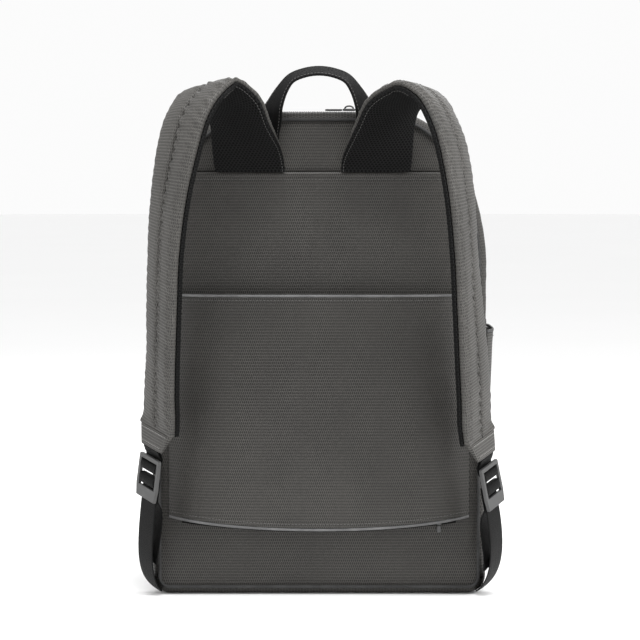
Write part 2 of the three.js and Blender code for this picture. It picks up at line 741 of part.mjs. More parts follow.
// The short webbing from the patch: behind the buckle's top bar, out over the upper bar,
// and back behind both to the patch, where both ends are sewn in.
function makeBuckleWebbing(end) {
  const [topStart, topEnd] = BUCKLE.topBar;
  const [barStart, barEnd] = BUCKLE.upperBar;
  const beside = onPlate + webbingWall + touchGap;
  const route = [
    { y: -buckleDrop, up: halfWebbing + touchGap },
    { y: -buckleDrop / 2, up: -0.25 * onPlate },
    { y: topStart - 0.6, up: -onPlate },
    { y: topEnd, up: -onPlate },
    { y: (topEnd + barStart) / 2, up: 0 },
    { y: barStart - 0.9, up: 0.7 * onBar },
    { y: barStart + 0.5, up: onBar },
    { y: barEnd - 0.5, up: onBar },
    { y: barEnd + 1.2, up: 0.6 * onBar },
    { y: barEnd + 1.7, up: 0 },
    { y: barEnd + 1.2, up: -0.6 * onBar },
    { y: barEnd - 0.5, up: -onBar },
    { y: barStart + 0.5, up: -1.1 * onBar },
    { y: topEnd + 2, up: -0.9 * beside },
    { y: topEnd, up: -beside },
    { y: topStart - 0.6, up: -beside },
    { y: -buckleDrop / 2, up: -0.7 * beside },
    { y: -buckleDrop, up: -halfWebbing - touchGap },
  ];
  return strip(
    route.map(({ y, up }) => ({ centre: inBuckle(end, y, up), wide: end.wide })),
    webbingWidth,
    webbingWall,
  );
}

// The corner of the base, where the lower webbing is sewn on: the webbing's end and the
// direction in which it leaves.
function anchorFoot() {
  const angle = THREE.MathUtils.degToRad(anchorAngle);
  const reach = baseCornerRadius - anchorInset + touchGap + halfWebbing;
  return {
    point: vec(
      baseCornerRadius - halfWidth - reach * Math.cos(angle),
      backY + anchorFromBack,
      baseCornerRadius - reach * Math.sin(angle),
    ),
    away: vec(-Math.sin(angle), 0, Math.cos(angle)),
  };
}

// The lower webbing rises from the corner of the base, passes behind the buckle's lip,
// out and over the lower bar and back in, and hangs down inside itself as a free tail.
function makeAnchorWebbing(end) {
  const [lipStart, lipEnd] = BUCKLE.lip;
  const [barStart, barEnd] = BUCKLE.lowerBar;
  const lip = inBuckle(end, lipEnd + 3, -onPlate);
  const { point: foot, away } = anchorFoot();
  const drop = lip.z - foot.z;
  const route = new THREE.CubicBezierCurve3(
    foot,
    foot.clone().addScaledVector(away, 0.2 * drop),
    lip.clone().addScaledVector(end.run, 0.66 * drop),
    lip,
  );
  const footWide = wideOf(anchorTurn, 0);
  const main = steps(14).map((share) => ({
    centre: route.getPoint(share),
    wide: footWide.clone().lerp(end.wide, 1 - Math.pow(1 - share, 3)).normalize(),
  }));
  const inward = onPlate + webbingWall + touchGap;
  const round = [
    { y: lipStart - 0.4, up: -onPlate },
    { y: mix(barEnd, lipStart, 0.58), up: -0.55 * onPlate },
    { y: mix(barEnd, lipStart, 0.5), up: 0 },
    { y: mix(barEnd, lipStart, 0.36), up: 0.6 * onBar },
    { y: barEnd - 0.6, up: onBar },
    { y: barStart + 0.6, up: onBar },
    { y: barStart - 1.5, up: 0.6 * onBar },
    { y: barStart - 2.3, up: 0 },
    { y: barStart - 2.5, up: -0.4 * inward },
    { y: barStart - 1.7, up: -0.8 * inward },
    { y: barStart + 0.6, up: -inward },
    { y: lipStart, up: -inward },
    { y: lipEnd, up: -inward },
  ].map(({ y, up }) => ({ centre: inBuckle(end, y, up), wide: end.wide }));
  const beside = framesOf(main).reverse();
  const tail = [];
  let reach = 0;
  for (let i = 1; i < beside.length && reach < tailLength; i++) {
    reach += beside[i].centre.distanceTo(beside[i - 1].centre);
    const bow = Math.sin(0.88 * Math.PI * Math.sqrt(Math.min(1, reach / tailLength)));
    const off = webbingWall + touchGap + tailSpread * bow;
    tail.push({ centre: placed(beside[i], 0, off), wide: beside[i].wide });
  }
  return strip([...main, ...round, ...tail], webbingWidth, webbingWall);
}

// Grab handle. Each row is a section of its left half, from the yoke seam to the crown.
// rise is a share of the way from the yoke seam up to the crown, side a share of the
// root's place, proud how many millimetres the strap's middle stands off the yoke beyond
// lying on it, turn the angle in degrees from lying flat to standing on edge, and tilt how
// much the edge that is turned to the wearer hangs down.
const HANDLE = [
  { rise: 0.012, side: 1.0, proud: 0, turn: 0, tilt: 0 },
  { rise: 0.2, side: 0.98, proud: 0, turn: 0, tilt: 0 },
  { rise: 0.36, side: 0.95, proud: 1.6, turn: 5, tilt: 0 },
  { rise: 0.52, side: 0.89, proud: 8, turn: 20, tilt: 0 },
  { rise: 0.65, side: 0.82, proud: 10, turn: 42, tilt: 0.1 },
  { rise: 0.79, side: 0.7, proud: 8, turn: 62, tilt: 0.25 },
  { rise: 0.92, side: 0.52, proud: 7, turn: 78, tilt: 0.38 },
  { rise: 0.98, side: 0.27, proud: 6.2, turn: 85, tilt: 0.41 },
  { rise: 1.0, side: 0.0, proud: 6, turn: 90, tilt: 0.42 },
];

function makeHandle() {
  const otherHalf = HANDLE.slice(0, -1).reverse()
    .map((row) => ({ ...row, side: -row.side, turn: 180 - row.turn }));
  const stations = steps(38).map((share) => {
    const { rise, side, proud, turn, tilt } = alongTable([...HANDLE, ...otherHalf], share);
    const x = -side * handleRootX;
    const z = mix(yokeSeamZ, bagHeight + handleRise, rise);
    const onYoke = yokeY(x, Math.min(z, bagHeight - edgeRoll)) - touchGap - handleWall / 2;
    return { centre: vec(x, onYoke - proud, z), wide: wideOf(turn, -tilt) };
  });
  return strip(stations, handleWidth, handleWall);
}

// Piping round the seam between a panel and the gusset.
function makePiping(seamY, away) {
  const places = [...outlineOver(baseCornerRadius), ...outlineUnder().reverse().slice(1, -1)];
  const inset = edgeRoll + seamGap / 2;
  const loops = places.map((place) => {
    const inner = place(inset + pipingRadius);
    const outer = place(inset - pipingRadius);
    const middle = inner.clone().add(outer).multiplyScalar(0.5);
    const across = outer.clone().sub(inner).normalize();
    return steps(6).slice(1).map((k) => {
      const angle = 2 * Math.PI * k;
      const p = middle.clone().addScaledVector(across, pipingRadius * Math.cos(angle));
      p.y = seamY(middle.z) + away * (pipingRadius * (1 + Math.sin(angle)) + 2 * touchGap);
      return p;
    });
  });
  return ring(loops);
}

// The strips of the gusset between zip and panels, and the zip between them.
const zipStart = zipFromBack;
const zipEnd = zipFromBack + zipTapeWidth + 2 * seamGap;

function makeMainZip() {
  const a = zipStart + seamGap;
  const b = a + zipTapeWidth;
  const middle = (a + b) / 2;
  const tooth = zipTeethWidth / 2;
  const section = [
    [a, zipTapeSunk], [middle - tooth, zipTapeSunk], [middle - tooth, -zipTeethRise],
    [middle + tooth, -zipTeethRise], [middle + tooth, zipTapeSunk], [b, zipTapeSunk],
    [b, zipTapeSunk + zipTapeWall], [a, zipTapeSunk + zipTapeWall],
  ];
  return sweep(
    outlineOver(zipEndHeight).map((place) =>
      section.map(([from, inset]) => {
        const p = place(inset);
        p.y = backY + from;
        return p;
      }),
    ),
  );
}

const zipMiddleY = backY + zipStart + seamGap + zipTapeWidth / 2;

function makeZipSlider() {
  const seat = bagHeight + zipTeethRise + touchGap;
  return block(zipSliderLength, zipSliderWidth, zipSliderWall,
    zipSliderX, zipMiddleY, seat + zipSliderWall / 2);
}

function makeZipPull() {
  const seat = bagHeight + zipTeethRise + touchGap;
  const x = zipSliderX - zipSliderLength / 2 - touchGap - zipPullLength / 2;
  return block(zipPullLength, zipPullWidth, zipPullWall, x, zipMiddleY, seat + zipPullWall / 2);
}

// The side walls below the zip, and the base with its two rounded corners.
function makeSideWall() {
  const low = baseCornerRadius + seamGap;
  const high = zipEndHeight - seamGap;
  return gussetStrip(
    steps(2).map((k) => (inset) => vec(inset - halfWidth, 0, mix(low, high, k))),
    gussetWall,
    {},
  );
}

const makeBase = () => gussetStrip(outlineUnder(), baseWall, {});

// A geometry built for the left side, as it stands on the named side.
function onSide(geometry, side) {
  if (side === "left") return geometry;
  geometry.scale(-1, 1, 1);
  const index = geometry.index.array;
  for (let i = 0; i < index.length; i += 3) [index[i], index[i + 1]] = [index[i + 1], index[i]];
  geometry.computeVertexNormals();
  return geometry;
}

const bag = new THREE.Group();

function add(name, geometry, { color, roughness, metalness }) {
  const material = new THREE.MeshStandardMaterial({ color, roughness, metalness });
  const mesh = new THREE.Mesh(geometry, material);
  mesh.name = name;
  bag.add(mesh);
}

const upper = outlineOver(zipEndHeight);
add("back_panel", makeBackPanel(), FINISH.shell);
add("back_yoke", makeBackYoke(), FINISH.shell);
add("front_panel", makeFrontPanel(), FINISH.shell);
add("gusset_rear", gussetStrip(upper, gussetWall, { frontFrom: zipStart }), FINISH.shell);
add("gusset_front", gussetStrip(upper, gussetWall, { rearFrom: zipEnd }), FINISH.shell);
add("base_panel", makeBase(), FINISH.shell);
add("back_piping", makePiping(() => backY, -1), FINISH.shell);
add("front_piping", makePiping((z) => backY + depthAt(z), 1), FINISH.shell);
add("main_zip", makeMainZip(), FINISH.zip);
add("main_zip_slider", makeZipSlider(), FINISH.slider);
add("main_zip_pull", makeZipPull(), FINISH.zip);
add("luggage_sleeve", makeSleeve(), FINISH.shell);
const topHem = () => sleeveTop + touchGap + hemThickness / 2;
const lowerHem = (x) => sleeveHem(x) - touchGap - hemThickness / 2;
add("sleeve_top_binding", makeSleeveBinding(topHem), FINISH.shell);
add("sleeve_lower_binding", makeSleeveBinding(lowerHem), FINISH.shell);
add("sleeve_zip", makeSleeveZip(), FINISH.zip);
add("sleeve_zip_slider", makeSleeveSlider(), FINISH.slider);
add("sleeve_zip_pull", makeSleevePull(), FINISH.slider);
add("side_pocket", makePocket(false), FINISH.shell);
add("side_pocket_binding", makePocket(true), FINISH.shell);
add("grab_handle", makeHandle(), FINISH.webbing);
for (const side of ["left", "right"]) {
  const stations = strapStations(STRAPS[side]);
  const end = patchEnd(stations);
  const origin = inBuckle(end, 0, 0);
  const place = new THREE.Matrix4()
    .makeBasis(end.wide, end.run, end.out.clone().negate()).setPosition(origin);
  const pieces = {
    side_wall: [makeSideWall(), FINISH.shell],
    strap_pad: [makeStrapPad(stations), FINISH.strap],
    strap_mesh: [makeStrapMesh(stations), FINISH.mesh],
    strap_patch: [makeStrapPatch(stations), FINISH.strap],
    buckle_webbing: [makeBuckleWebbing(end), FINISH.webbing],
    ladder_buckle: [makeBuckle().applyMatrix4(place), FINISH.buckle],
    anchor_webbing: [makeAnchorWebbing(end), FINISH.webbing],
  };
  for (const [name, [geometry, finish]] of Object.entries(pieces))
    add(`${name}_${side}`, onSide(geometry, side), finish);
}

export default bag;
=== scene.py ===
import math
import bpy
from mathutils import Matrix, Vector, noise


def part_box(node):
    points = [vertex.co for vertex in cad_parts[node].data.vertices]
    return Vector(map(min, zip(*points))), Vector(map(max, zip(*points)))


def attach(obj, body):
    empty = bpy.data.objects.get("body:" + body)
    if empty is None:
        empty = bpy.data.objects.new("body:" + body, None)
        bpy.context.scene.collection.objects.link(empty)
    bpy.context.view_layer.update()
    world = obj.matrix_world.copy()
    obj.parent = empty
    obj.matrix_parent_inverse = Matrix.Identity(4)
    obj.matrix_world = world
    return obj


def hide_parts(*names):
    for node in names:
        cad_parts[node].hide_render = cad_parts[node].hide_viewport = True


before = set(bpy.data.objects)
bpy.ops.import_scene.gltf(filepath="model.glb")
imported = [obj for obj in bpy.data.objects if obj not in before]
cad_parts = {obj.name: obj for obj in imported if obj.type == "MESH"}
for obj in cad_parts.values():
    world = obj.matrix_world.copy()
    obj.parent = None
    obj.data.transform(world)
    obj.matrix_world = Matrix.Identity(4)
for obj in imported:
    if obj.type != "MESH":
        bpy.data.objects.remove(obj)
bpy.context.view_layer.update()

# Camera: looks at the wearer's side from far off and a little above
MM = 0.001
IMAGE_PIXELS = 640
PIXEL_SIZE = 0.92 * MM
CENTRE_PIXEL = (319.0, 598.0)
VIEW_DISTANCE = 2.1
VIEW_ELEVATION = math.radians(3.5)
SENSOR = 36.0

base_low, base_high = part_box("base_panel")
HALF_WIDTH = base_high.x
BACK = base_low.y
BASE_DEPTH = base_high.y - base_low.y
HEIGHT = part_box("gusset_rear")[1].z


def make_camera():
    data = bpy.data.cameras.new("camera")
    data.sensor_width = SENSOR
    data.lens = SENSOR * VIEW_DISTANCE / (IMAGE_PIXELS * PIXEL_SIZE)
    camera = bpy.data.objects.new("camera", data)
    bpy.context.collection.objects.link(camera)
    half = IMAGE_PIXELS / 2
    target = Vector((
        (half - CENTRE_PIXEL[0]) * PIXEL_SIZE,
        BACK - 8 * MM,
        (CENTRE_PIXEL[1] - half) * PIXEL_SIZE,
    ))
    away = Vector((0, -math.cos(VIEW_ELEVATION), math.sin(VIEW_ELEVATION)))
    camera.location = target + away * VIEW_DISTANCE
    camera.rotation_euler = (-away).to_track_quat("-Z", "Y").to_euler()
    bpy.context.scene.camera = camera


# Body sizes, as the solids have them
CORNER_WIDTH = 88 * MM
CORNER_HEIGHT = 145 * MM
BASE_RADIUS = 16 * MM
EDGE_ROLL = 7 * MM
EDGE_ROLL_DEPTH = 10 * MM
TOP_DEPTH = 118 * MM
SEAM_GAP = 0.5 * MM
TOUCH = 0.35 * MM
PANEL_INSET = EDGE_ROLL + SEAM_GAP
SHOULDER = HEIGHT - CORNER_HEIGHT
BACK_BULGE = 8 * MM
FRONT_BULGE = 15 * MM
YOKE_SEAM = HEIGHT - 55 * MM
SEAM_FOLD = 5 * MM
SEAM_FOLD_FADE = 34 * MM
SHELL_WALL = 1.6 * MM
BACK_WALL = 4 * MM
WEARER = Vector((0, -1, 0))
UP = Vector((0, 0, 1))


def mix(a, b, t):
    return a + (b - a) * t


def clamp(value, low=0.0, high=1.0):
    return max(low, min(high, value))


def smooth(value, low, high):
    t = clamp((value - low) / (high - low))
    return t * t * (3 - 2 * t)


def half_width_at(z, inset):
    if z > SHOULDER:
        share = clamp((z - SHOULDER) / (CORNER_HEIGHT - inset))
        return HALF_WIDTH - CORNER_WIDTH + (CORNER_WIDTH - inset) * math.sqrt(1 - share * share)
    if z < BASE_RADIUS:
        radius = BASE_RADIUS - inset
        share = clamp((BASE_RADIUS - z) / radius)
        return HALF_WIDTH - BASE_RADIUS + radius * math.sqrt(1 - share * share)
    return HALF_WIDTH - inset


def depth_at(z):
    return mix(BASE_DEPTH, TOP_DEPTH, (max(0.0, z) / HEIGHT) ** 1.6)


def pillow(x, z):
    across = min(1.0, abs(x) / half_width_at(z, EDGE_ROLL))
    up = min(1.0, abs(z - HEIGHT / 2) / (HEIGHT / 2 - EDGE_ROLL))
    return (1 - across ** 4) * (1 - up ** 4)


def yoke_y(x, z):
    return BACK - BACK_BULGE * pillow(x, z)


def edge_fade(x, z):
    """1 over a back panel, falling to 0 at its edge."""
    across = min(1.0, abs(x) / half_width_at(z, PANEL_INSET))
    return 1 - across ** 6


def back_y(x, z):
    share = clamp(1 - (YOKE_SEAM - z) / SEAM_FOLD_FADE)
    return yoke_y(x, z) - SEAM_FOLD * share * share * edge_fade(x, z)


def ripple(x, y, z, size, seed=0.0):
    """Smooth noise from -1 to 1 whose features are about size metres apart."""
    return noise.noise(Vector((x / size + seed, y / size - seed, z / size + 2 * seed)))


# Procedural materials
class Shader:
    """A material's node tree, with short calls for the nodes that the patterns use."""

    def __init__(self, name):
        self.material = bpy.data.materials.new(name)
        self.material.use_nodes = True
        self.tree = self.material.node_tree
        self.tree.nodes.clear()
        self.surface = self.node("ShaderNodeBsdfPrincipled")
        output = self.node("ShaderNodeOutputMaterial")
        self.link(self.surface.outputs[0], output.inputs["Surface"])

    def node(self, kind, **settings):
        made = self.tree.nodes.new(kind)
        for key, value in settings.items():
            setattr(made, key, value)
        return made

    def link(self, source, target):
        self.tree.links.new(source, target)

    def put(self, value, target):
        if isinstance(value, bpy.types.NodeSocket):
            self.link(value, target)
        else:
            target.default_value = value

    def math(self, operation, *values):
        made = self.node("ShaderNodeMath", operation=operation)
        for value, target in zip(values, made.inputs):
            self.put(value, target)
        return made.outputs[0]

    def remap(self, value, low, high, to_low=0.0, to_high=1.0):
        made = self.node("ShaderNodeMapRange", interpolation_type="SMOOTHSTEP")
        for index, setting in enumerate((value, low, high, to_low, to_high)):
            self.put(setting, made.inputs[index])
        return made.outputs[0]

    def mix(self, share, first, second):
        made = self.node("ShaderNodeMix", data_type="RGBA")
        for index, setting in ((0, share), (6, first), (7, second)):
            self.put(setting, made.inputs[index])
        return made.outputs[2]

    def uv(self):
        """The two directions of the cloth, in metres."""
        split = self.node("ShaderNodeSeparateXYZ")
        self.link(self.node("ShaderNodeTexCoord").outputs["UV"], split.inputs[0])
        return split.outputs[0], split.outputs[1]

    def noise(self, size, detail=2.0):
        """Noise over the object, with features about size metres apart."""
        mapping = self.node("ShaderNodeMapping")
        self.link(self.node("ShaderNodeTexCoord").outputs["Object"], mapping.inputs["Vector"])
        mapping.inputs["Scale"].default_value = [1 / size] * 3
        made = self.node("ShaderNodeTexNoise")
        made.inputs["Scale"].default_value = 1.0
        made.inputs["Detail"].default_value = detail
        self.link(mapping.outputs[0], made.inputs["Vector"])
        return made.outputs["Fac"]

    def bump(self, height, distance, strength=1.0):
        made = self.node("ShaderNodeBump")
        made.inputs["Distance"].default_value = distance
        made.inputs["Strength"].default_value = strength
        self.link(height, made.inputs["Height"])
        self.link(made.outputs[0], self.surface.inputs["Normal"])

    def set(self, **values):
        for key, value in values.items():
            self.put(value, self.surface.inputs[key.replace("_", " ")])
        return self.material


def grey(level, warmth=0.0):
    return (level * (1 + warmth), level, level * (1 - 1.6 * warmth), 1.0)


def staggered(shader, pitch_u, pitch_v, reach_u, reach_v, soft=0.35):
    """1 inside each oval of a staggered field, and 0 between them."""
    u, v = shader.uv()
    row = shader.math("DIVIDE", v, pitch_v)
    shift = shader.math("MULTIPLY", shader.math("MODULO", shader.math("FLOOR", row), 2.0), 0.5)
    column = shader.math("ADD", shader.math("DIVIDE", u, pitch_u), shift)
    across = shader.math("SUBTRACT", shader.math("FRACT", column), 0.5)
    along = shader.math("SUBTRACT", shader.math("FRACT", row), 0.5)
    a = shader.math("POWER", shader.math("DIVIDE", shader.math("ABSOLUTE", across), reach_u), 2.0)
    b = shader.math("POWER", shader.math("DIVIDE", shader.math("ABSOLUTE", along), reach_v), 2.0)
    return shader.remap(shader.math("ADD", a, b), 1 - soft, 1 + 2 * soft, 1.0, 0.0)


def nylon(name, light, painted_pit_shade, rough=0.52):
    """Coarse nylon: rows of dimples between raised, slightly shiny threads, with painted shade in the
    dimples.
    """
    shader = Shader(name)
    pit_relief_and_shade = staggered(shader, 1.88 * MM, 2.77 * MM, 0.3, 0.4)
    patch = shader.remap(shader.noise(60 * MM, 3.0), 0.3, 0.7, 0.9, 1.1)
    fleck = shader.remap(shader.noise(1.6 * MM, 1.0), 0.25, 0.75, 0.86, 1.14)
    # Painted shade: the dimples take the darker colour, as if shade fell into them.
    share = shader.math("MULTIPLY", pit_relief_and_shade, 0.78)
    weave_and_pit_shade = shader.mix(share, light, painted_pit_shade)
    tone = shader.math("MULTIPLY", patch, fleck)
    shaded = shader.node("ShaderNodeMix", data_type="RGBA", blend_type="MULTIPLY")
    shaded.inputs[0].default_value = 1.0
    shader.put(weave_and_pit_shade, shaded.inputs[6])
    grey_tone = shader.node("ShaderNodeCombineColor")
    for target in grey_tone.inputs:
        shader.link(tone, target)
    shader.put(grey_tone.outputs[0], shaded.inputs[7])
    height = shader.math("SUBTRACT", shader.math("MULTIPLY", tone, 0.25), pit_relief_and_shade)
    shader.bump(height, 0.45 * MM, 0.7)
    gloss = shader.remap(pit_relief_and_shade, 0.0, 1.0, rough - 0.08, rough + 0.2)
    return shader.set(
        Base_Color=shaded.outputs[2], Roughness=gloss, Specular_IOR_Level=0.35,
    )


def air_mesh(name):
    """Black spacer mesh with staggered holes, which are coloured darker as painted shade inside them."""
    shader = Shader(name)
    hole_relief_and_shade = staggered(shader, 3.4 * MM, 2.3 * MM, 0.32, 0.42, 0.2)
    shader.bump(shader.math("SUBTRACT", 1.0, hole_relief_and_shade), 1.1 * MM, 1.0)
    # Painted shade: the holes take a darker colour than the black mesh around them.
    shade = shader.mix(hole_relief_and_shade, grey(0.013), grey(0.001))
    return shader.set(Base_Color=shade, Roughness=0.8, Specular_IOR_Level=0.1)


def webbing(name, level, rough=0.6, pitch=1.3 * MM):
    """Woven tape: ribs across it that lean one way and then the other, with painted shade in their grooves
    and painted highlight on their crests.
    """
    shader = Shader(name)
    u, v = shader.uv()
    lean = shader.math("PINGPONG", u, 3.2 * MM)
    turns = shader.math("DIVIDE", shader.math("ADD", v, lean), pitch)
    rib = shader.math("SINE", shader.math("MULTIPLY", turns, 2 * math.pi))
    worn = shader.remap(shader.noise(18 * MM, 3.0), 0.35, 0.7)
    height = shader.remap(rib, -1.0, 1.0)
    shader.bump(height, 0.22 * MM, 0.8)
    # Painted shade and highlight: the rib height darkens the grooves and lightens the crests.
    shade = shader.mix(shader.math("MULTIPLY", height, 0.6), grey(level * 0.55), grey(level * 1.35))
    shade = shader.mix(shader.math("MULTIPLY", worn, 0.3), shade, grey(level * 1.9))
    return shader.set(Base_Color=shade, Roughness=rough, Specular_IOR_Level=0.1)


def thread(name, level):
    """Twisted sewing thread."""
    shader = Shader(name)
    twist = shader.noise(0.5 * MM, 1.0)
    shader.bump(twist, 0.1 * MM, 0.6)
    shade = shader.mix(twist, grey(level * 0.7, 0.02), grey(level * 1.25, 0.02))
    return shader.set(Base_Color=shade, Roughness=0.55)


def hard(name, level, rough, metallic=0.0, grain=0.25 * MM):
    """Moulded plastic or satin metal, worn a little lighter here and there."""
    shader = Shader(name)
    grained = shader.noise(grain, 2.0)
    worn = shader.remap(shader.noise(9 * MM, 4.0), 0.45, 0.75)
    shader.bump(grained, 0.05 * MM, 0.5)
    shade = shader.mix(shader.math("MULTIPLY", worn, 0.4), grey(level), grey(level * 1.35))
    gloss = shader.remap(grained, 0.2, 0.8, rough - 0.07, rough + 0.09)
    return shader.set(Base_Color=shade, Roughness=gloss, Metallic=metallic)


# Mesh building
def new_object(name, vertices, faces, uvs=None):
    mesh = bpy.data.meshes.new(name)
    mesh.from_pydata([tuple(v) for v in vertices], [], faces)
    if uvs is not None:
        layer = mesh.uv_layers.new(name="cloth")
        for polygon in mesh.polygons:
            for loop, vertex in zip(polygon.loop_indices, polygon.vertices):
                layer.data[loop].uv = uvs[vertex]
    mesh.polygons.foreach_set("use_smooth", [True] * len(mesh.polygons))
    mesh.update()
    made = bpy.data.objects.new(name, mesh)
    bpy.context.collection.objects.link(made)
    return made


def keep(piece, material, nodes=()):
    """Finishes a piece: its material, its body and the solids that it stands for."""
    piece.data.materials.append(material)
    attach(piece, "root")
    if nodes:
        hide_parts(*nodes)
    return piece


def sheet(name, grid, uv, outward, wall):
    """A wall of cloth: grid[row][column] is its outer face, which faces outward."""
    rows = len(grid)
    columns = len(grid[0])
    vertices = [p for row in grid for p in row]
    middle = (rows // 2) * columns + columns // 2
    ahead = vertices[middle + 1] - vertices[middle]
    above = vertices[middle + columns] - vertices[middle]
    turned = ahead.cross(above).dot(outward) < 0
    faces = []
    for i in range(rows - 1):
        for j in range(columns - 1):
            a = i * columns + j
            quad = (a, a + 1, a + 1 + columns, a + columns)
            faces.append(quad[::-1] if turned else quad)
    made = new_object(name, vertices, faces, [c for row in uv for c in row])
    thick = made.modifiers.new("wall", "SOLIDIFY")
    thick.thickness = wall
    thick.offset = -1
    return made


def loft(name, rings, uv, closed=False):
    """A solid through rings of points, capped at its ends unless it closes on itself."""
    around = len(rings[0])
    count = len(rings)
    vertices = [p for ring in rings for p in ring]
    uvs = [c for row in uv for c in row]
    faces = []
    for i in range(count if closed else count - 1):
        for k in range(around):
            a = i * around + k
            b = i * around + (k + 1) % around
            step = around if i < count - 1 else around - count * around
            faces.append((a, b, b + step, a + step))
    if not closed:
        faces.append(tuple(range(around))[::-1])
        faces.append(tuple(range((count - 1) * around, count * around)))
    made = new_object(name, vertices, faces, uvs)
    volume = sum(p.center.dot(p.normal) * p.area for p in made.data.polygons)
    if volume < 0:
        made.data.flip_normals()
    return made


def spread(low, high, count):
    return [mix(low, high, k / (count - 1)) for k in range(count)]


def circle(count):
    """Evenly spaced angles round a circle."""
    return [2 * math.pi * k / count for k in range(count)]


def eased(count):
    """Shares from -1 to 1, closer together towards their ends."""
    return [math.sin((k / (count - 1) - 0.5) * math.pi) for k in range(count)]


# Places round the body's outline
def outline(start, turn_at, corner, end, counts):
    """(inset -> place) along the left side, round a corner and its end, and back down."""
    width, height = corner
    way = 1 if end > turn_at else -1
    places = []
    for z in spread(start, turn_at, counts[0])[:-1]:
        places.append(lambda inset, z=z: Vector((inset - HALF_WIDTH, 0, z)))
    for angle in spread(0, math.pi / 2, counts[1]):
        places.append(lambda inset, t=angle: Vector((
            width - HALF_WIDTH - (width - inset) * math.cos(t),
            0,
            turn_at + way * (height - inset) * math.sin(t),
        )))
    for x in spread(width - HALF_WIDTH, 0, counts[2])[1:]:
        places.append(lambda inset, x=x: Vector((x, 0, end - way * inset)))
    return places + [mirrored(place) for place in places[-2::-1]]


def outline_over(low, counts=(24, 36, 14)):
    """Up the left side from a height, over the top and down the right side."""
    return outline(low, SHOULDER, (CORNER_WIDTH, CORNER_HEIGHT), HEIGHT, counts)


def outline_under(counts=(2, 10, 20)):
    """Under the base, from one lower corner to the other."""
    return outline(BASE_RADIUS, BASE_RADIUS, (BASE_RADIUS, BASE_RADIUS), 0, counts)


def mirrored(place):
    return lambda inset: place(inset) * Vector((-1, 1, 1))


def lengths(points):
    """How far along a chain of points each of them is."""
    total = [0.0]
    for before, after in zip(points, points[1:]):
        total.append(total[-1] + (after - before).length)
    return total


# Small rounded bars: stitches and zip teeth
STITCH_RING = ((-0.5, 0.3), (-0.3, 0.9), (0.0, 1.0), (0.3, 0.9), (0.5, 0.3))
TOOTH_RING = ((-0.5, 0.35), (-0.32, 0.9), (0.0, 1.0), (0.32, 0.9), (0.5, 0.35))
BAR_SIDES = 6


def capsules(name, items, material, ring):
    """Small bars: items are (middle, along, side, normal, length, width, height)."""
    vertices = []
    faces = []
    for centre, along, side, normal, length, width, height in items:
        start = len(vertices)
        for where, girth in ring:
            for turn in circle(BAR_SIDES):
                vertices.append(
                    centre + along * (where * length)
                    + side * (math.cos(turn) * girth * width / 2)
                    + normal * (math.sin(turn) * girth * height / 2)
                )
        for i in range(len(ring) - 1):
            for k in range(BAR_SIDES):
                a = start + i * BAR_SIDES + k
                b = start + i * BAR_SIDES + (k + 1) % BAR_SIDES
                faces.append((a, b, b + BAR_SIDES, a + BAR_SIDES))
        faces.append(tuple(start + k for k in range(BAR_SIDES))[::-1])
        faces.append(tuple(start + (len(ring) - 1) * BAR_SIDES + k for k in range(BAR_SIDES)))
    return keep(new_object(name, vertices, faces), material)


def places_along(points, normals, distances):
    """(middle, normal, along, side) at each of some growing distances along a chain."""
    run = lengths(points)
    index = 0
    for at in distances:
        while run[index + 1] < at:
            index += 1
        share = (at - run[index]) / (run[index + 1] - run[index])
        normal = normals[index].lerp(normals[index + 1], share).normalized()
        along = (points[index + 1] - points[index]).normalized()
        side = normal.cross(along).normalized()
        yield points[index].lerp(points[index + 1], share), normal, along, side


def stitches(name, points, normals, material, pitch=3.2 * MM, length=2.2 * MM, thick=0.5 * MM):
    """A row of short stitches along a chain of points, lying on a surface."""
    end = lengths(points)[-1] - pitch / 4
    distances = []
    at = pitch / 2
    while at < end:
        distances.append(at)
        at += pitch
    items = [
        (centre, along, side, normal, length, thick, thick)
        for centre, normal, along, side in places_along(points, normals, distances)
    ]
    return capsules(name, items, material, STITCH_RING)


def flat_size(grid):
    """The width and length that a wall of cloth was cut to, with its seams turned in."""
    columns = [[row[j] for row in grid] for j in range(len(grid[0]))]
    widest = max(lengths(row)[-1] for row in grid)
    longest = max(lengths(column)[-1] for column in columns)
    return widest + 2 * MM, longest + 2 * MM


# Body panels
def panel_grid(low, high, y_at, columns, rows, amount, seed, sign):
    """A grid over the body's outline between two heights, and its cloth directions."""
    outward = Vector((0, sign, 0))
    grid = []
    uv = []
    for k in range(rows):
        z = mix(low, high, 0.5 - 0.5 * math.cos(math.pi * k / (rows - 1)))
        reach = half_width_at(z, PANEL_INSET)
        row = []
        for share in eased(columns):
            x = share * reach
            edge = 1 - abs(share) ** 6
            point = Vector((x, y_at(x, z), z))
            row.append(point + outward * (amount * edge * ripple(*point, 70 * MM, seed)))
        grid.append(row)
        uv.append([(p.x, p.z) for p in row])
    return grid, uv


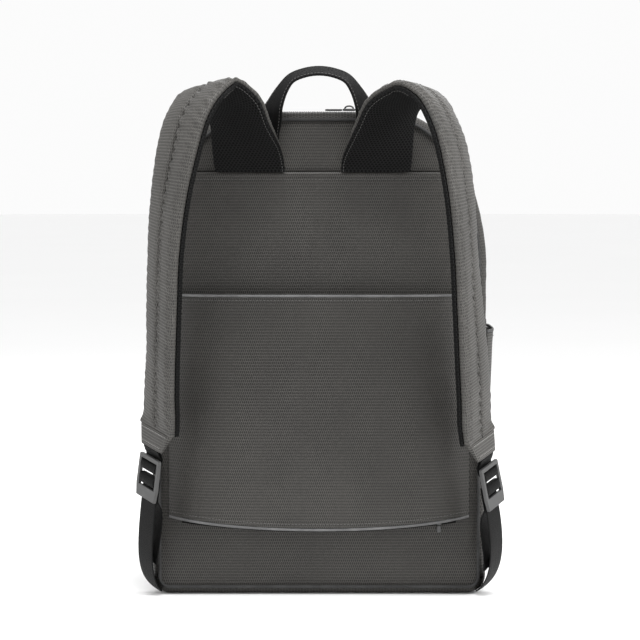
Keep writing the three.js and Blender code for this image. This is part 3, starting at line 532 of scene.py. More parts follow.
def make_back(fabric, stitch):
    seam = YOKE_SEAM - SEAM_GAP / 2

    def folded(x, z):
        """The lower panel, whose top edge is folded in and stitched down."""
        drop = YOKE_SEAM - z
        lip = 1.6 * MM * (1 - smooth(drop, 0.2 * MM, 2.2 * MM))
        crease = 0.7 * MM * math.exp(-((drop - 7 * MM) / (1.3 * MM)) ** 2)
        pucker = 0.5 * MM * ripple(x, 0, z * 0.3, 9 * MM, 3.1) * (1 - smooth(drop, 4 * MM, 22 * MM))
        return back_y(x, z) + (lip + crease + pucker) * edge_fade(x, z)

    fold_low = seam - 26 * MM
    grid, uv = panel_grid(PANEL_INSET, fold_low, back_y, 70, 100, 0.8 * MM, 1.3, -1)
    upper, upper_uv = panel_grid(fold_low, seam, folded, 70, 30, 0.8 * MM, 1.3, -1)
    panel = sheet("back_panel_cloth", grid + upper[1:], uv + upper_uv[1:], WEARER, BACK_WALL)
    keep(panel, fabric, ["back_panel"])

    top = HEIGHT - EDGE_ROLL - SEAM_GAP

    def yoke(x, z):
        """The yoke dips into the seam below it and is a little loose beside the handle."""
        rise = z - YOKE_SEAM
        dip = 1.2 * MM * math.exp(-rise / (5 * MM))
        slack = 0.8 * MM * ripple(x, 0, z, 32 * MM, 7.7) * smooth(rise, 0, 14 * MM)
        return yoke_y(x, z) + (dip + slack) * edge_fade(x, z)

    grid, uv = panel_grid(YOKE_SEAM + SEAM_GAP / 2, top, yoke, 70, 30, 0.4 * MM, 4.2, -1)
    panel = sheet("back_yoke_cloth", grid, uv, WEARER, BACK_WALL)
    keep(panel, fabric, ["back_yoke"])

    reach = half_width_at(YOKE_SEAM, EDGE_ROLL) - 6 * MM
    z = YOKE_SEAM - 7 * MM
    line = [Vector((x, folded(x, z) - 0.3 * MM, z)) for x in spread(-reach, reach, 120)]
    stitches("yoke_stitches", line, [WEARER] * len(line), stitch)


def make_front(fabric):
    def y_at(x, z):
        return BACK + depth_at(z) + FRONT_BULGE * pillow(x, z)

    grid, uv = panel_grid(PANEL_INSET, HEIGHT - PANEL_INSET, y_at, 70, 110, 2.2 * MM, 9.4, 1)
    panel = sheet("front_panel_cloth", grid, uv, Vector((0, 1, 0)), SHELL_WALL)
    keep(panel, fabric, ["front_panel"])


def gusset_section(rear_from, front_from):
    """(distance, inset, from the front panel?) at the two edges of a strip of gusset.

    None stands for an edge that is sewn to a panel and rolls in to it. Any other edge is
    given by its distance from the back panel."""
    roll = [
        (EDGE_ROLL_DEPTH * (1 - math.cos(t)), EDGE_ROLL * (1 - math.sin(t)))
        for t in spread(0, math.pi / 2, 7)
    ]
    rear = [(rear_from, 0.0, False)]
    front = [(front_from, 0.0, False)]
    if rear_from is None:
        rear = [(d, i, False) for d, i in roll]
    if front_from is None:
        front = [(d, i, True) for d, i in roll[::-1]]
    return rear, front


def gusset_grid(places, section, flat_count, seed, amount=1.1 * MM):
    rear, front = section
    rows = []
    uv = []
    run = lengths([place(0) for place in places])
    for place, along in zip(places, run):
        def at(distance, inset, is_front):
            p = place(inset)
            p.y = BACK + depth_at(p.z) - distance if is_front else BACK + distance
            return p
        ends = [at(*s) for s in rear], [at(*s) for s in front]
        flat = [ends[0][-1].lerp(ends[1][0], t) for t in spread(0, 1, flat_count)][1:-1]
        row = ends[0] + flat + ends[1]
        outward = (place(0) - place(10 * MM)).normalized()
        total = lengths(row)
        made = []
        for p, across in zip(row, total):
            from_seam = min(across, total[-1] - across)
            free = smooth(from_seam, 2 * MM, 22 * MM)
            pucker = math.exp(-((from_seam - 9 * MM) / (5 * MM)) ** 2) * 0.45 * MM
            push = amount * free * ripple(*p, 48 * MM, seed)
            push += pucker * ripple(along, across * 0.4, 0, 7 * MM, seed + 5)
            made.append(p + outward * push)
        rows.append(made)
        uv.append([(across, along) for across in total])
    return rows, uv


ZIP_FROM_BACK = 22 * MM
ZIP_TAPE = 13 * MM
ZIP_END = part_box("main_zip")[0].z
ZIP_FRONT = ZIP_FROM_BACK + ZIP_TAPE + 2 * SEAM_GAP


def make_gusset(fabric):
    over = outline_over(ZIP_END)
    strips = [
        ("gusset_rear", gusset_section(None, ZIP_FROM_BACK), 5, 2.0),
        ("gusset_front", gusset_section(ZIP_FRONT, None), 26, 6.0),
    ]
    for name, section, flat_count, seed in strips:
        grid, uv = gusset_grid(over, section, flat_count, seed)
        piece = sheet(f"{name}_cloth", grid, uv, UP, SHELL_WALL)
        keep(piece, fabric, [name])
    section = gusset_section(None, None)
    low = BASE_RADIUS + SEAM_GAP
    for side, sign in (("left", -1), ("right", 1)):
        places = [
            lambda inset, z=z: Vector((sign * (HALF_WIDTH - inset), 0, z))
            for z in spread(low, ZIP_END - SEAM_GAP, 60)
        ]
        grid, uv = gusset_grid(places, section, 40, 3.0 + sign)
        piece = sheet(f"side_wall_{side}_cloth", grid, uv, Vector((sign, 0, 0)), SHELL_WALL)
        keep(piece, fabric, [f"side_wall_{side}"])
    grid, uv = gusset_grid(outline_under(), section, 40, 8.0, amount=0)
    piece = sheet("base_panel_cloth", grid, uv, -UP, SHELL_WALL)
    keep(piece, fabric, ["base_panel"])


PIPING_RADIUS = 1.5 * MM
CORD_SIDES = 10


def make_piping(name, seam_y, away, fabric):
    places = outline_over(BASE_RADIUS, (40, 40, 30)) + outline_under((2, 12, 30))[::-1][1:-1]
    inset = EDGE_ROLL + SEAM_GAP / 2
    rings = []
    middles = []
    for place in places:
        inner = place(inset + PIPING_RADIUS)
        outer = place(inset - PIPING_RADIUS)
        middle = (inner + outer) / 2
        across = (outer - inner).normalized()
        ring = []
        for turn in circle(CORD_SIDES):
            p = middle + across * (PIPING_RADIUS * math.cos(turn))
            p.y = seam_y(middle.z) + away * (PIPING_RADIUS * (1 + math.sin(turn)) + 2 * TOUCH)
            ring.append(p)
        rings.append(ring)
        middles.append(middle)
    run = lengths(middles)
    uv = [[(k * 0.95 * MM, along) for k in range(CORD_SIDES)] for along in run]
    keep(loft(f"{name}_cloth", rings, uv, closed=True), fabric, [name])


# Luggage sleeve
sleeve_low, sleeve_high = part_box("luggage_sleeve")
SLEEVE_REACH = sleeve_high.x
SLEEVE_TOP = sleeve_high.z
SLEEVE_BOTTOM = sleeve_low.z
SLEEVE_HEM_RISE = 10 * MM
SLEEVE_GAP = 16 * MM
SLEEVE_WALL = 1.6 * MM
HEM = 2.6 * MM


def sleeve_hem(x):
    return SLEEVE_BOTTOM + SLEEVE_HEM_RISE * (x / SLEEVE_REACH) ** 2


def sleeve_y(x, z):
    """The sleeve's outer face, a little slack between its two hems."""
    across = min(1.0, abs(x) / SLEEVE_REACH)
    rise = clamp((z - SLEEVE_BOTTOM) / (SLEEVE_TOP - SLEEVE_BOTTOM))
    flat = back_y(x, z) - SEAM_GAP - SLEEVE_GAP * (1 - across ** 6) - SLEEVE_WALL
    slack = (1 - across ** 4) * math.sin(math.pi * rise)
    return flat + slack * (1.2 * MM * ripple(x, 0, z * 0.6, 85 * MM, 2.2) + 0.9 * MM)


def make_sleeve(fabric, binding, stitch):
    grid = []
    for k in range(80):
        rise = 0.5 - 0.5 * math.cos(math.pi * k / 79)
        row = []
        for share in eased(80):
            x = share * SLEEVE_REACH
            z = mix(sleeve_hem(x), SLEEVE_TOP, rise)
            fold = 0.5 * MM * math.exp(-((SLEEVE_TOP - z - 4 * MM) / (0.9 * MM)) ** 2)
            fold += 0.5 * MM * math.exp(-((z - sleeve_hem(x) - 5 * MM) / (0.9 * MM)) ** 2)
            row.append(Vector((x, sleeve_y(x, z) + fold * (1 - share ** 6), z)))
        grid.append(row)
    uv = [[(p.x + 0.5 * MM, p.z) for p in row] for row in grid]
    piece = sheet("luggage_sleeve_cloth", grid, uv, WEARER, SLEEVE_WALL)
    keep(piece, fabric, ["luggage_sleeve"])
    flat_size(grid)
    hems = [
        ("sleeve_top_binding", lambda x: SLEEVE_TOP + TOUCH + HEM / 2, -4 * MM),
        ("sleeve_lower_binding", lambda x: sleeve_hem(x) - TOUCH - HEM / 2, 5 * MM),
    ]
    for name, z_at, inward in hems:
        rings = []
        line = []
        for x in spread(-SLEEVE_REACH, SLEEVE_REACH, 140):
            z = z_at(x)
            middle = Vector((x, sleeve_y(x, z) + SLEEVE_WALL / 2, z))
            girth = HEM / 2 * (1 + 0.06 * ripple(x, 0, 0, 5 * MM, 3.3))
            rings.append([
                middle + Vector((0, math.cos(t) * girth, math.sin(t) * girth))
                for t in circle(CORD_SIDES)
            ])
            low = z + inward
            line.append(Vector((x * 0.985, sleeve_y(x * 0.985, low) + 0.1 * MM, low)))
        uv = [[(k * 0.8 * MM, ring[0].x) for k in range(CORD_SIDES)] for ring in rings]
        keep(loft(f"{name}_cloth", rings, uv), binding, [name])
        stitches(f"{name}_stitches", line, [WEARER] * len(line), stitch)


# Straps and webbing
class Station:
    """A section of a strap: its middle, its run, its width and the normal of its outer face."""

    def __init__(self, centre, wide, width=0.0, pad=1.0, skew=0.0):
        self.centre = centre
        self.wide = wide
        self.width = width
        self.pad = pad
        self.skew = skew
        self.run = None
        self.out = None

    def at(self, across, up, ahead=0.0):
        return self.centre + self.wide * across + self.out * up + self.run * ahead


def framed(stations):
    for i, station in enumerate(stations):
        before = stations[max(0, i - 1)].centre
        after = stations[min(len(stations) - 1, i + 1)].centre
        station.run = (after - before).normalized()
        slope = station.wide.dot(station.run) * (1 - station.skew)
        station.wide = (station.wide - station.run * slope).normalized()
        station.out = station.run.cross(station.wide).normalized()
    return stations


def hermite(a, b, c, d, t):
    """A smooth curve from b to c that heads from a and on to d."""
    rise = 3 * t ** 2 - 2 * t ** 3
    leave = (t ** 3 - 2 * t ** 2 + t) / 2
    arrive = (t ** 3 - t ** 2) / 2
    return b * (1 - rise) + c * rise + (c - a) * leave + (d - b) * arrive


def along_table(rows, share):
    """The values of a table's columns at a share of the way through its rows."""
    at = share * (len(rows) - 1)
    i = min(len(rows) - 2, int(at))
    last = len(rows) - 1
    near = (rows[max(0, i - 1)], rows[i], rows[i + 1], rows[min(last, i + 2)])
    return [hermite(*column, at - i) for column in zip(*near)]


def resampled(points, count):
    """A smooth curve through points, as evenly spaced points."""
    fine = [Vector(along_table(points, k / (count * 4))) for k in range(count * 4 + 1)]
    run = lengths(fine)
    made = []
    index = 0
    for k in range(count):
        at = run[-1] * k / (count - 1)
        while index < len(fine) - 2 and run[index + 1] < at:
            index += 1
        share = (at - run[index]) / (run[index + 1] - run[index])
        made.append(fine[index].lerp(fine[index + 1], share))
    return made


def wide_of(turn, tilt):
    angle = math.radians(turn)
    return Vector((math.cos(angle), -math.sin(angle), tilt)).normalized()


def on_side(side, rings):
    """Rings built for the left side, as they stand on the named side."""
    if side == "left":
        return rings
    return [[Vector((-p.x, p.y, p.z)) for p in ring] for ring in rings]


def rounded(width, wall, count=16, square=0.3):
    """(across, up) round a flat section whose corners are rounded."""
    made = []
    for k in range(count):
        turn = 2 * math.pi * (k + 0.5) / count
        c = math.cos(turn)
        s = math.sin(turn)
        made.append((
            math.copysign(abs(c) ** square, c) * width / 2,
            math.copysign(abs(s) ** (square * 1.6), s) * wall / 2,
        ))
    return made


def make_strip(node, side, stations, width, wall, material, squeeze=None):
    """A strip of webbing with rounded edges; squeeze gives its thickness at a station."""
    section = rounded(width, wall)
    rings = []
    for i, station in enumerate(stations):
        girth = squeeze(i) if squeeze else 1.0
        rings.append([station.at(a, b * girth) for a, b in section])
    run = lengths([s.centre for s in stations])
    uv = [[(a, along) for a, _ in section] for along in run]
    piece = loft(f"{node}_tape", on_side(side, rings), uv)
    return keep(piece, material, [node])


STRAP_WIDTH = 64 * MM
STRAP_END_WIDTH = 52 * MM
STRAP_ROOT = 63 * MM
STRAP_PADDING = 8 * MM
STRAP_STANDOFF = 80 * MM
STRAP_END = 152 * MM
STRAP_TAPER = 22 * MM
MESH_WALL = 5 * MM
MESH_BORDER = 1.2 * MM
PATCH_LENGTH = 19 * MM
PATCH_LEAN = 5 * MM
PATCH_WIDTHS = (STRAP_END_WIDTH - 2 * MESH_BORDER, 34 * MM)
PATCH_WALLS = (7 * MM, 4 * MM)
PATCH_RINGS = 26
ROOT_SHARE = 0.16

# rise: share of the way from the strap's end up to the yoke seam; side: share of the way
# from the root out to the side of the bag; out: share of the standoff; turn: degrees that
# the inner edge is turned to the wearer; tilt: lift of that edge; pad: share of the padding
STRAPS = {
    "left": [
        (1.001, 0.0, 0.015, 0, 0.0, 0.12),
        (1.035, 0.01, 0.045, 1, 0.0, 0.3),
        (1.09, 0.03, 0.13, 12, 0.0, 0.6),
        (1.17, 0.075, 0.27, 33, 0.03, 0.85),
        (1.255, 0.16, 0.43, 40, 0.12, 0.85),
        (1.3, 0.36, 0.62, 32, 0.2, 0.85),
        (1.265, 0.475, 0.8, 42, 0.18, 0.9),
        (1.19, 0.578, 0.92, 50, 0.12, 1.0),
        (1.08, 0.656, 0.98, 54, 0.06, 1.0),
        (0.9, 0.74, 1.0, 60, 0.0, 1.0),
        (0.7, 0.791, 0.94, 64, 0.0, 1.0),
        (0.52, 0.813, 0.84, 65, 0.0, 1.0),
        (0.34, 0.83, 0.73, 66, 0.0, 1.0),
        (0.18, 0.849, 0.63, 65, 0.0, 1.0),
        (0.09, 0.861, 0.57, 61, 0.0, 0.9),
        (0.033, 0.878, 0.54, 54, 0.0, 0.75),
    ],
    "right": [
        (1.001, -0.119, 0.015, 0, 0.0, 0.12),
        (1.035, -0.113, 0.045, 2, 0.0, 0.3),
        (1.09, -0.092, 0.13, 18, 0.0, 0.6),
        (1.17, -0.048, 0.27, 36, 0.04, 0.85),
        (1.25, 0.04, 0.43, 46, 0.1, 0.85),
        (1.295, 0.232, 0.62, 57, 0.12, 0.85),
        (1.26, 0.39, 0.8, 64, 0.1, 0.9),
        (1.183, 0.498, 0.92, 68, 0.06, 1.0),
        (1.075, 0.59, 0.98, 68, 0.03, 1.0),
        (0.9, 0.664, 1.0, 70, 0.0, 1.0),
        (0.7, 0.708, 0.94, 72, 0.0, 1.0),
        (0.52, 0.747, 0.84, 70, 0.0, 1.0),
        (0.33, 0.793, 0.73, 67, 0.0, 1.0),
        (0.16, 0.826, 0.63, 66, 0.0, 1.0),
        (0.06, 0.843, 0.57, 64, 0.0, 0.9),
        (0.0, 0.87, 0.54, 58, 0.0, 0.75),
    ],
}


def strap_stations(rows, count=230):
    end = mix(STRAP_END, YOKE_SEAM, rows[-1][0])
    stations = []
    for share in spread(0, 1, count):
        rise, side, out, turn, tilt, pad = along_table(rows, share)
        z = mix(STRAP_END, YOKE_SEAM, rise)
        centre = Vector((
            -mix(STRAP_ROOT, HALF_WIDTH, side),
            BACK - BACK_BULGE - STRAP_STANDOFF * out,
            z,
        ))
        from_end = clamp((z - end) / STRAP_TAPER) if share > 0.5 else 1.0
        width = mix(STRAP_END_WIDTH, STRAP_WIDTH, math.sqrt(from_end))
        skew = max(0.0, 1 - share / ROOT_SHARE)
        stations.append(Station(centre, wide_of(turn, tilt), width, pad, skew))
    return framed(stations)


# Shares of a strap's half width at which its section has points, from the seam outwards
PAD_COLUMNS = (
    0.0, 0.02, 0.04, 0.065, 0.1, 0.15, 0.22, 0.3, 0.39, 0.48, 0.57, 0.66, 0.74, 0.81,
    0.87, 0.92, 0.96, 0.985, 1.0,
)
PAD_UNDER = (1.0, 0.5, 0.0, -0.5, -1.0)
FOLD_PITCH = 9 * MM
FOLD_SLANT = 22 * MM


def pad_height(across, along, lean, seed):
    """Share of the padding at a place across a strap: two channels beside a sewn seam.

    The cloth is drawn in at the seam in slanting folds, which lean the same way on both
    sides of it and are strongest in the inner channel."""
    away = abs(across)
    crown = 0.42 + 0.58 * math.sqrt(max(0.0, 1 - away ** 3.2))
    groove = 0.6 * math.exp(-((away / 0.045) ** 2)) + 0.12 * math.exp(-((away / 0.15) ** 2))
    near_seam = math.exp(-((away - 0.14) / 0.17) ** 2)
    near_edge = math.exp(-((away - 0.84) / 0.14) ** 2)
    side = math.copysign(1.0, across)
    drawn = 1.0 if across > 0 else 0.35
    wander = ripple(along, across * 26 * MM, 0, 21 * MM, seed + 11)
    uneven = ripple(along, side * 40 * MM + across * 12 * MM, 0, 7.5 * MM, seed)
    turns = (along - lean * across * FOLD_SLANT) / FOLD_PITCH + 0.5 * wander + side * 0.2
    folds = 0.7 * math.sin(2 * math.pi * turns) + 0.6 * uneven
    return crown - groove + drawn * (0.24 * near_seam + 0.2 * near_edge) * folds + 0.07 * wander


def make_pad(side, stations, fabric, thread_finish):
    columns = [-c for c in PAD_COLUMNS[:0:-1]] + list(PAD_COLUMNS)
    seed = 2.7 if side == "left" else 5.9
    lean = 1.0 if side == "left" else -1.0
    run = lengths([s.centre for s in stations])
    rings = []
    uv = []
    seam = []
    normals = []
    for s, along in zip(stations, run):
        reach = s.width / 2 - MESH_BORDER
        base = TOUCH / 2
        ends = smooth(along, 2 * MM, 16 * MM) * smooth(run[-1] - along, 0, 8 * MM)
        top = [
            s.at(u * reach, base + STRAP_PADDING * s.pad * mix(0.9, height, ends))
            for u, height in ((u, pad_height(u, along, lean, seed)) for u in columns)
        ]
        under = [s.at(u * reach, base) for u in PAD_UNDER]
        rings.append(top + under)
        across = lengths(top)
        middle = across[len(across) // 2]
        uv.append([(c - middle, along) for c in across] + [(u * reach, along) for u in PAD_UNDER])
        seam.append(top[len(top) // 2] + s.out * 0.1 * MM)
        normals.append(s.out)
    pad = loft(f"strap_pad_{side}_cloth", on_side(side, rings), uv)
    keep(pad, fabric, [f"strap_pad_{side}"])
    (seam,) = on_side(side, [seam])
    (normals,) = on_side(side, [normals])
    stitches(
        f"strap_seam_{side}", seam[6:], normals[6:], thread_finish,
        pitch=3.9 * MM, length=3.4 * MM, thick=1.3 * MM,
    )


def make_mesh(side, stations, material, thread_finish):
    run = lengths([s.centre for s in stations])
    rings = []
    uv = []
    edge = []
    normals = []
    for s in stations:
        wall = MESH_WALL * mix(0.5, 1, s.pad)
        section = rounded(s.width, wall, 40, 0.24)
        middle = -TOUCH / 2 - wall / 2
        rings.append([s.at(a, b + middle) for a, b in section])
        edge.append(s.at(s.width / 2 - 2.2 * MM, -wall - TOUCH / 2 - 0.05 * MM))
        normals.append(-s.out)
    uv = [[(c, along) for c in lengths(ring)] for ring, along in zip(rings, run)]
    piece = loft(f"strap_mesh_{side}_cloth", on_side(side, rings), uv)
    keep(piece, material, [f"strap_mesh_{side}"])
    (edge,) = on_side(side, [edge])
    (normals,) = on_side(side, [normals])
    shown = len(edge) * 2 // 5
    stitches(f"strap_mesh_stitches_{side}", edge[:shown], normals[:shown], thread_finish)


def patch_end(stations):
    end = stations[-1]
    made = Station(end.at(-PATCH_LEAN, STRAP_PADDING * end.pad / 2, TOUCH + PATCH_LENGTH), end.wide)
    made.run = end.run
    made.out = end.out
    return made


def make_patch(side, end, fabric, thread_finish):
    rings = []
    uv = []
    for share in spread(0, 1, PATCH_RINGS):
        near_end = 0.16 * math.exp(-((1 - share) / 0.05) ** 2)
        near_start = 0.08 * math.exp(-(share / 0.05) ** 2)
        width = mix(*PATCH_WIDTHS, share)
        wall = mix(*PATCH_WALLS, share) * (1 - near_end - near_start)
        swell = 1 + 0.05 * math.sin(math.pi * share)
        section = rounded(width, wall * swell, 36, 0.32)
        ahead = (share - 1) * PATCH_LENGTH
        aside = (1 - share) * PATCH_LEAN
        rings.append([
            end.at(a + aside, b * (1 + 0.05 * ripple(a, ahead, b, 6 * MM, 4.4)), ahead)
            for a, b in section
        ])
        uv.append([(a, share * PATCH_LENGTH) for a, _ in section])
    piece = loft(f"strap_patch_{side}_cloth", on_side(side, rings), uv)
    keep(piece, fabric, [f"strap_patch_{side}"])
    lines = []
    for share in (0.1, 0.78):
        half = mix(*PATCH_WIDTHS, share) / 2 * 0.86
        up = mix(*PATCH_WALLS, share) / 2 + 0.12 * MM
        ahead = (share - 1) * PATCH_LENGTH
        aside = (1 - share) * PATCH_LEAN
        lines.append([end.at(a + aside, up, ahead) for a in spread(-half, half, 24)])
    for index, line in enumerate(on_side(side, lines)):
        (facing,) = on_side(side, [[end.out] * len(line)])
        name = f"strap_patch_stitches_{side}_{index + 1}"
        stitches(name, line, facing, thread_finish, pitch=2.6 * MM, length=1.8 * MM)


# Buckles: places along one from its upper edge down, as (from, to)
BUCKLE_DROP = 8 * MM
BUCKLE_WALL = 3.2 * MM
BAR_WALL = 2.2 * MM
TOP_BAR = (0.0, 4 * MM)
UPPER_BAR = (7.5 * MM, 11.5 * MM)
LOWER_BAR = (20 * MM, 24 * MM)
LIP = (29 * MM, 40 * MM)
WEBBING_WIDTH = 25 * MM
WEBBING_WALL = 1.4 * MM
ON_PLATE = BUCKLE_WALL / 2 + TOUCH + WEBBING_WALL / 2
ON_BAR = (BAR_WALL + WEBBING_WALL) / 2 + 1.5 * TOUCH


def in_buckle(end, y, up):
    return end.at(0, up, TOUCH + BUCKLE_DROP + y)


def make_buckle_webbing(side, end, material):
    half = WEBBING_WALL / 2
    top_start, top_end = TOP_BAR
    bar_start, bar_end = UPPER_BAR
    beside = ON_PLATE + WEBBING_WALL + TOUCH
    route = [
        (-BUCKLE_DROP, half + TOUCH),
        (-BUCKLE_DROP / 2, -0.25 * ON_PLATE),
        (top_start - 0.6 * MM, -ON_PLATE),
        (top_end, -ON_PLATE),
        ((top_end + bar_start) / 2, 0.0),
        (bar_start - 0.9 * MM, 0.7 * ON_BAR),
        (bar_start + 0.5 * MM, ON_BAR),
        (bar_end - 0.5 * MM, ON_BAR),
        (bar_end + 1.2 * MM, 0.6 * ON_BAR),
        (bar_end + 1.7 * MM, 0.0),
        (bar_end + 1.2 * MM, -0.6 * ON_BAR),
        (bar_end - 0.5 * MM, -ON_BAR),
        (bar_start + 0.5 * MM, -1.1 * ON_BAR),
        (top_end + 2 * MM, -0.9 * beside),
        (top_end, -beside),
        (top_start - 0.6 * MM, -beside),
        (-BUCKLE_DROP / 2, -0.7 * beside),
        (-BUCKLE_DROP, -half - TOUCH),
    ]
    points = resampled([in_buckle(end, y, up) for y, up in route], 90)
    stations = framed([Station(p, end.wide) for p in points])
    make_strip(f"buckle_webbing_{side}", side, stations, WEBBING_WIDTH, WEBBING_WALL, material)


ANCHOR_ANGLE = math.radians(60)
ANCHOR_INSET = 1.45 * MM
ANCHOR_FROM_BACK = 3 * MM
ANCHOR_TURN = 68
TAIL_LENGTH = 62 * MM
TAIL_SPREAD = 7 * MM
TAIL_FOLD = 8 * MM


def bezier(a, b, c, d, t):
    u = 1 - t
    return a * u ** 3 + b * (3 * u * u * t) + c * (3 * u * t * t) + d * t ** 3


def make_anchor_webbing(side, end, material, thread_finish):
    half = WEBBING_WALL / 2
    lip = in_buckle(end, LIP[1] + 3 * MM, -ON_PLATE)
    reach = BASE_RADIUS - ANCHOR_INSET + TOUCH + half
    foot = Vector((
        BASE_RADIUS - HALF_WIDTH - reach * math.cos(ANCHOR_ANGLE),
        BACK + ANCHOR_FROM_BACK,
        BASE_RADIUS - reach * math.sin(ANCHOR_ANGLE),
    ))
    away = Vector((-math.sin(ANCHOR_ANGLE), 0, math.cos(ANCHOR_ANGLE)))
    drop = lip.z - foot.z
    ends = (foot, foot + away * (0.2 * drop), lip + end.run * (0.66 * drop), lip)
    foot_wide = wide_of(ANCHOR_TURN, 0)
    main = []
    for share in spread(0, 1, 70):
        wide = foot_wide.lerp(end.wide, 1 - (1 - share) ** 3).normalized()
        main.append(Station(bezier(*ends, share), wide))
    inward = ON_PLATE + WEBBING_WALL + TOUCH
    bar_start, bar_end = LOWER_BAR
    route = [
        (LIP[1] + 3 * MM, -ON_PLATE),
        (LIP[0] + 3 * MM, -ON_PLATE),
        (LIP[0] - 0.4 * MM, -ON_PLATE),
        (mix(bar_end, LIP[0], 0.58), -0.55 * ON_PLATE),
        (mix(bar_end, LIP[0], 0.5), 0.0),
        (mix(bar_end, LIP[0], 0.36), 0.6 * ON_BAR),
        (bar_end - 0.6 * MM, ON_BAR),
        (bar_start + 0.6 * MM, ON_BAR),
        (bar_start - 1.5 * MM, 0.6 * ON_BAR),
        (bar_start - 2.3 * MM, 0.0),
        (bar_start - 2.5 * MM, -0.4 * inward),
        (bar_start - 1.7 * MM, -0.8 * inward),
        (bar_start + 0.6 * MM, -inward),
        (LIP[0], -inward),
        (LIP[1], -inward),
    ]
    points = resampled([in_buckle(end, y, up) for y, up in route], 110)
    over_bar = [Station(p, end.wide) for p in points[1:]]
    framed(main)
    tail = []
    hung = 0.0
    for before, station in zip(main[:0:-1], main[-2::-1]):
        hung += (station.centre - before.centre).length
        if hung > TAIL_LENGTH:
            break
        bow = math.sin(0.88 * math.pi * math.sqrt(hung / TAIL_LENGTH))
        off = WEBBING_WALL + TOUCH + TAIL_SPREAD * bow
        tail.append(Station(station.at(0, off), station.wide))
    stations = framed(main + over_bar + tail)
    run = lengths([s.centre for s in stations])

    def squeeze(i):
        from_end = run[-1] - run[i]
        folded = 1 - smooth(from_end, TAIL_FOLD - 1 * MM, TAIL_FOLD)
        return 1 + 0.9 * folded

    node = f"anchor_webbing_{side}"
    make_strip(node, side, stations, WEBBING_WIDTH, WEBBING_WALL, material, squeeze)
    last = stations[-1]
    reach = WEBBING_WIDTH / 2 - 2 * MM
    line = [last.at(a, -0.98 * WEBBING_WALL, -0.6 * TAIL_FOLD) for a in spread(-reach, reach, 16)]
    (line,) = on_side(side, [line])
    (facing,) = on_side(side, [[-last.out] * len(line)])
    stitches(f"tail_stitches_{side}", line, facing, thread_finish)


def refined(node, bevel, segments, material):
    """A copy of a hard CAD piece with its edges rounded."""
    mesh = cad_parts[node].data.copy()
    mesh.materials.clear()
    piece = bpy.data.objects.new(f"{node}_moulded", mesh)
    bpy.context.collection.objects.link(piece)
    weld = piece.modifiers.new("weld", "WELD")
    weld.merge_threshold = 0.02 * MM
    round_edges = piece.modifiers.new("round", "BEVEL")
    round_edges.width = bevel
    round_edges.segments = segments
    round_edges.limit_method = "ANGLE"
    round_edges.angle_limit = math.radians(40)
    return keep(piece, material, [node])


# Grab handle. rise: share of the way from the yoke seam up to the crown; side: share of
# the root's place; proud: metres off the yoke; turn: degrees from flat to on edge; tilt: how
# much the edge that is turned to the wearer hangs down
HANDLE = [
    (0.012, 1.0, 0.0, 0, 0.0),
    (0.2, 0.98, 0.0, 0, 0.0),
    (0.36, 0.95, 0.0016, 5, 0.0),
    (0.52, 0.89, 0.008, 20, 0.0),
    (0.65, 0.82, 0.010, 42, 0.1),
    (0.79, 0.7, 0.008, 62, 0.25),
    (0.92, 0.52, 0.007, 78, 0.38),
    (0.98, 0.27, 0.0062, 85, 0.41),
    (1.0, 0.0, 0.006, 90, 0.42),
]
HANDLE_WIDTH = 22 * MM
HANDLE_WALL = 2.6 * MM
HANDLE_ROOT = 50 * MM
HANDLE_RISE = 37 * MM


def make_handle(material, thread_finish):
    other_half = [(row[0], -row[1], row[2], 180 - row[3], row[4]) for row in HANDLE[-2::-1]]
    stations = []
    for share in spread(0, 1, 180):
        rise, side, proud, turn, tilt = along_table(HANDLE + other_half, share)
        x = -side * HANDLE_ROOT
        z = mix(YOKE_SEAM, HEIGHT + HANDLE_RISE, rise)
        y = yoke_y(x, min(z, HEIGHT - EDGE_ROLL)) - TOUCH - HANDLE_WALL / 2 - proud
        stations.append(Station(Vector((x, y, z)), wide_of(turn, -tilt)))
    framed(stations)
    make_strip("grab_handle", "left", stations, HANDLE_WIDTH, HANDLE_WALL, material)
    reach = HANDLE_WIDTH / 2 - 2 * MM
    for index, across in enumerate((-reach, reach)):
        for name, face in (("outer", 1), ("inner", -1)):
            line = [s.at(across, face * (HANDLE_WALL / 2 + 0.02 * MM)) for s in stations]
            facing = [s.out * face for s in stations]
            stitches(f"handle_stitches_{name}_{index + 1}", line, facing, thread_finish)


# Zips
def coil(name, points, normals, width, pitch, rise, material, skip=None):
    """A zip's coil: bars across the chain, leaning one way and then the other."""
    count = int(lengths(points)[-1] / pitch)
    places = places_along(points, normals, [(k + 0.5) * pitch for k in range(count)])
    items = []
    for k, (centre, normal, along, across) in enumerate(places):
        if skip and skip(centre):
            continue
        hand = 1 if k % 2 else -1
        leaning = (across + along * (0.22 * hand)).normalized()
        place = centre + across * (0.14 * width * hand) + normal * (rise * 0.3)
        side = normal.cross(leaning).normalized()
        items.append((place, leaning, side, normal, width * 0.74, pitch * 0.86, rise * 1.2))
    capsules(name, items, material, TOOTH_RING)


ZIP_SUNK = 0.5 * MM
ZIP_TAPE_WALL = 1.2 * MM
TEETH_WIDTH = 4.4 * MM
TEETH_RISE = 1.1 * MM
ZIP_MIDDLE = BACK + ZIP_FROM_BACK + SEAM_GAP + ZIP_TAPE / 2


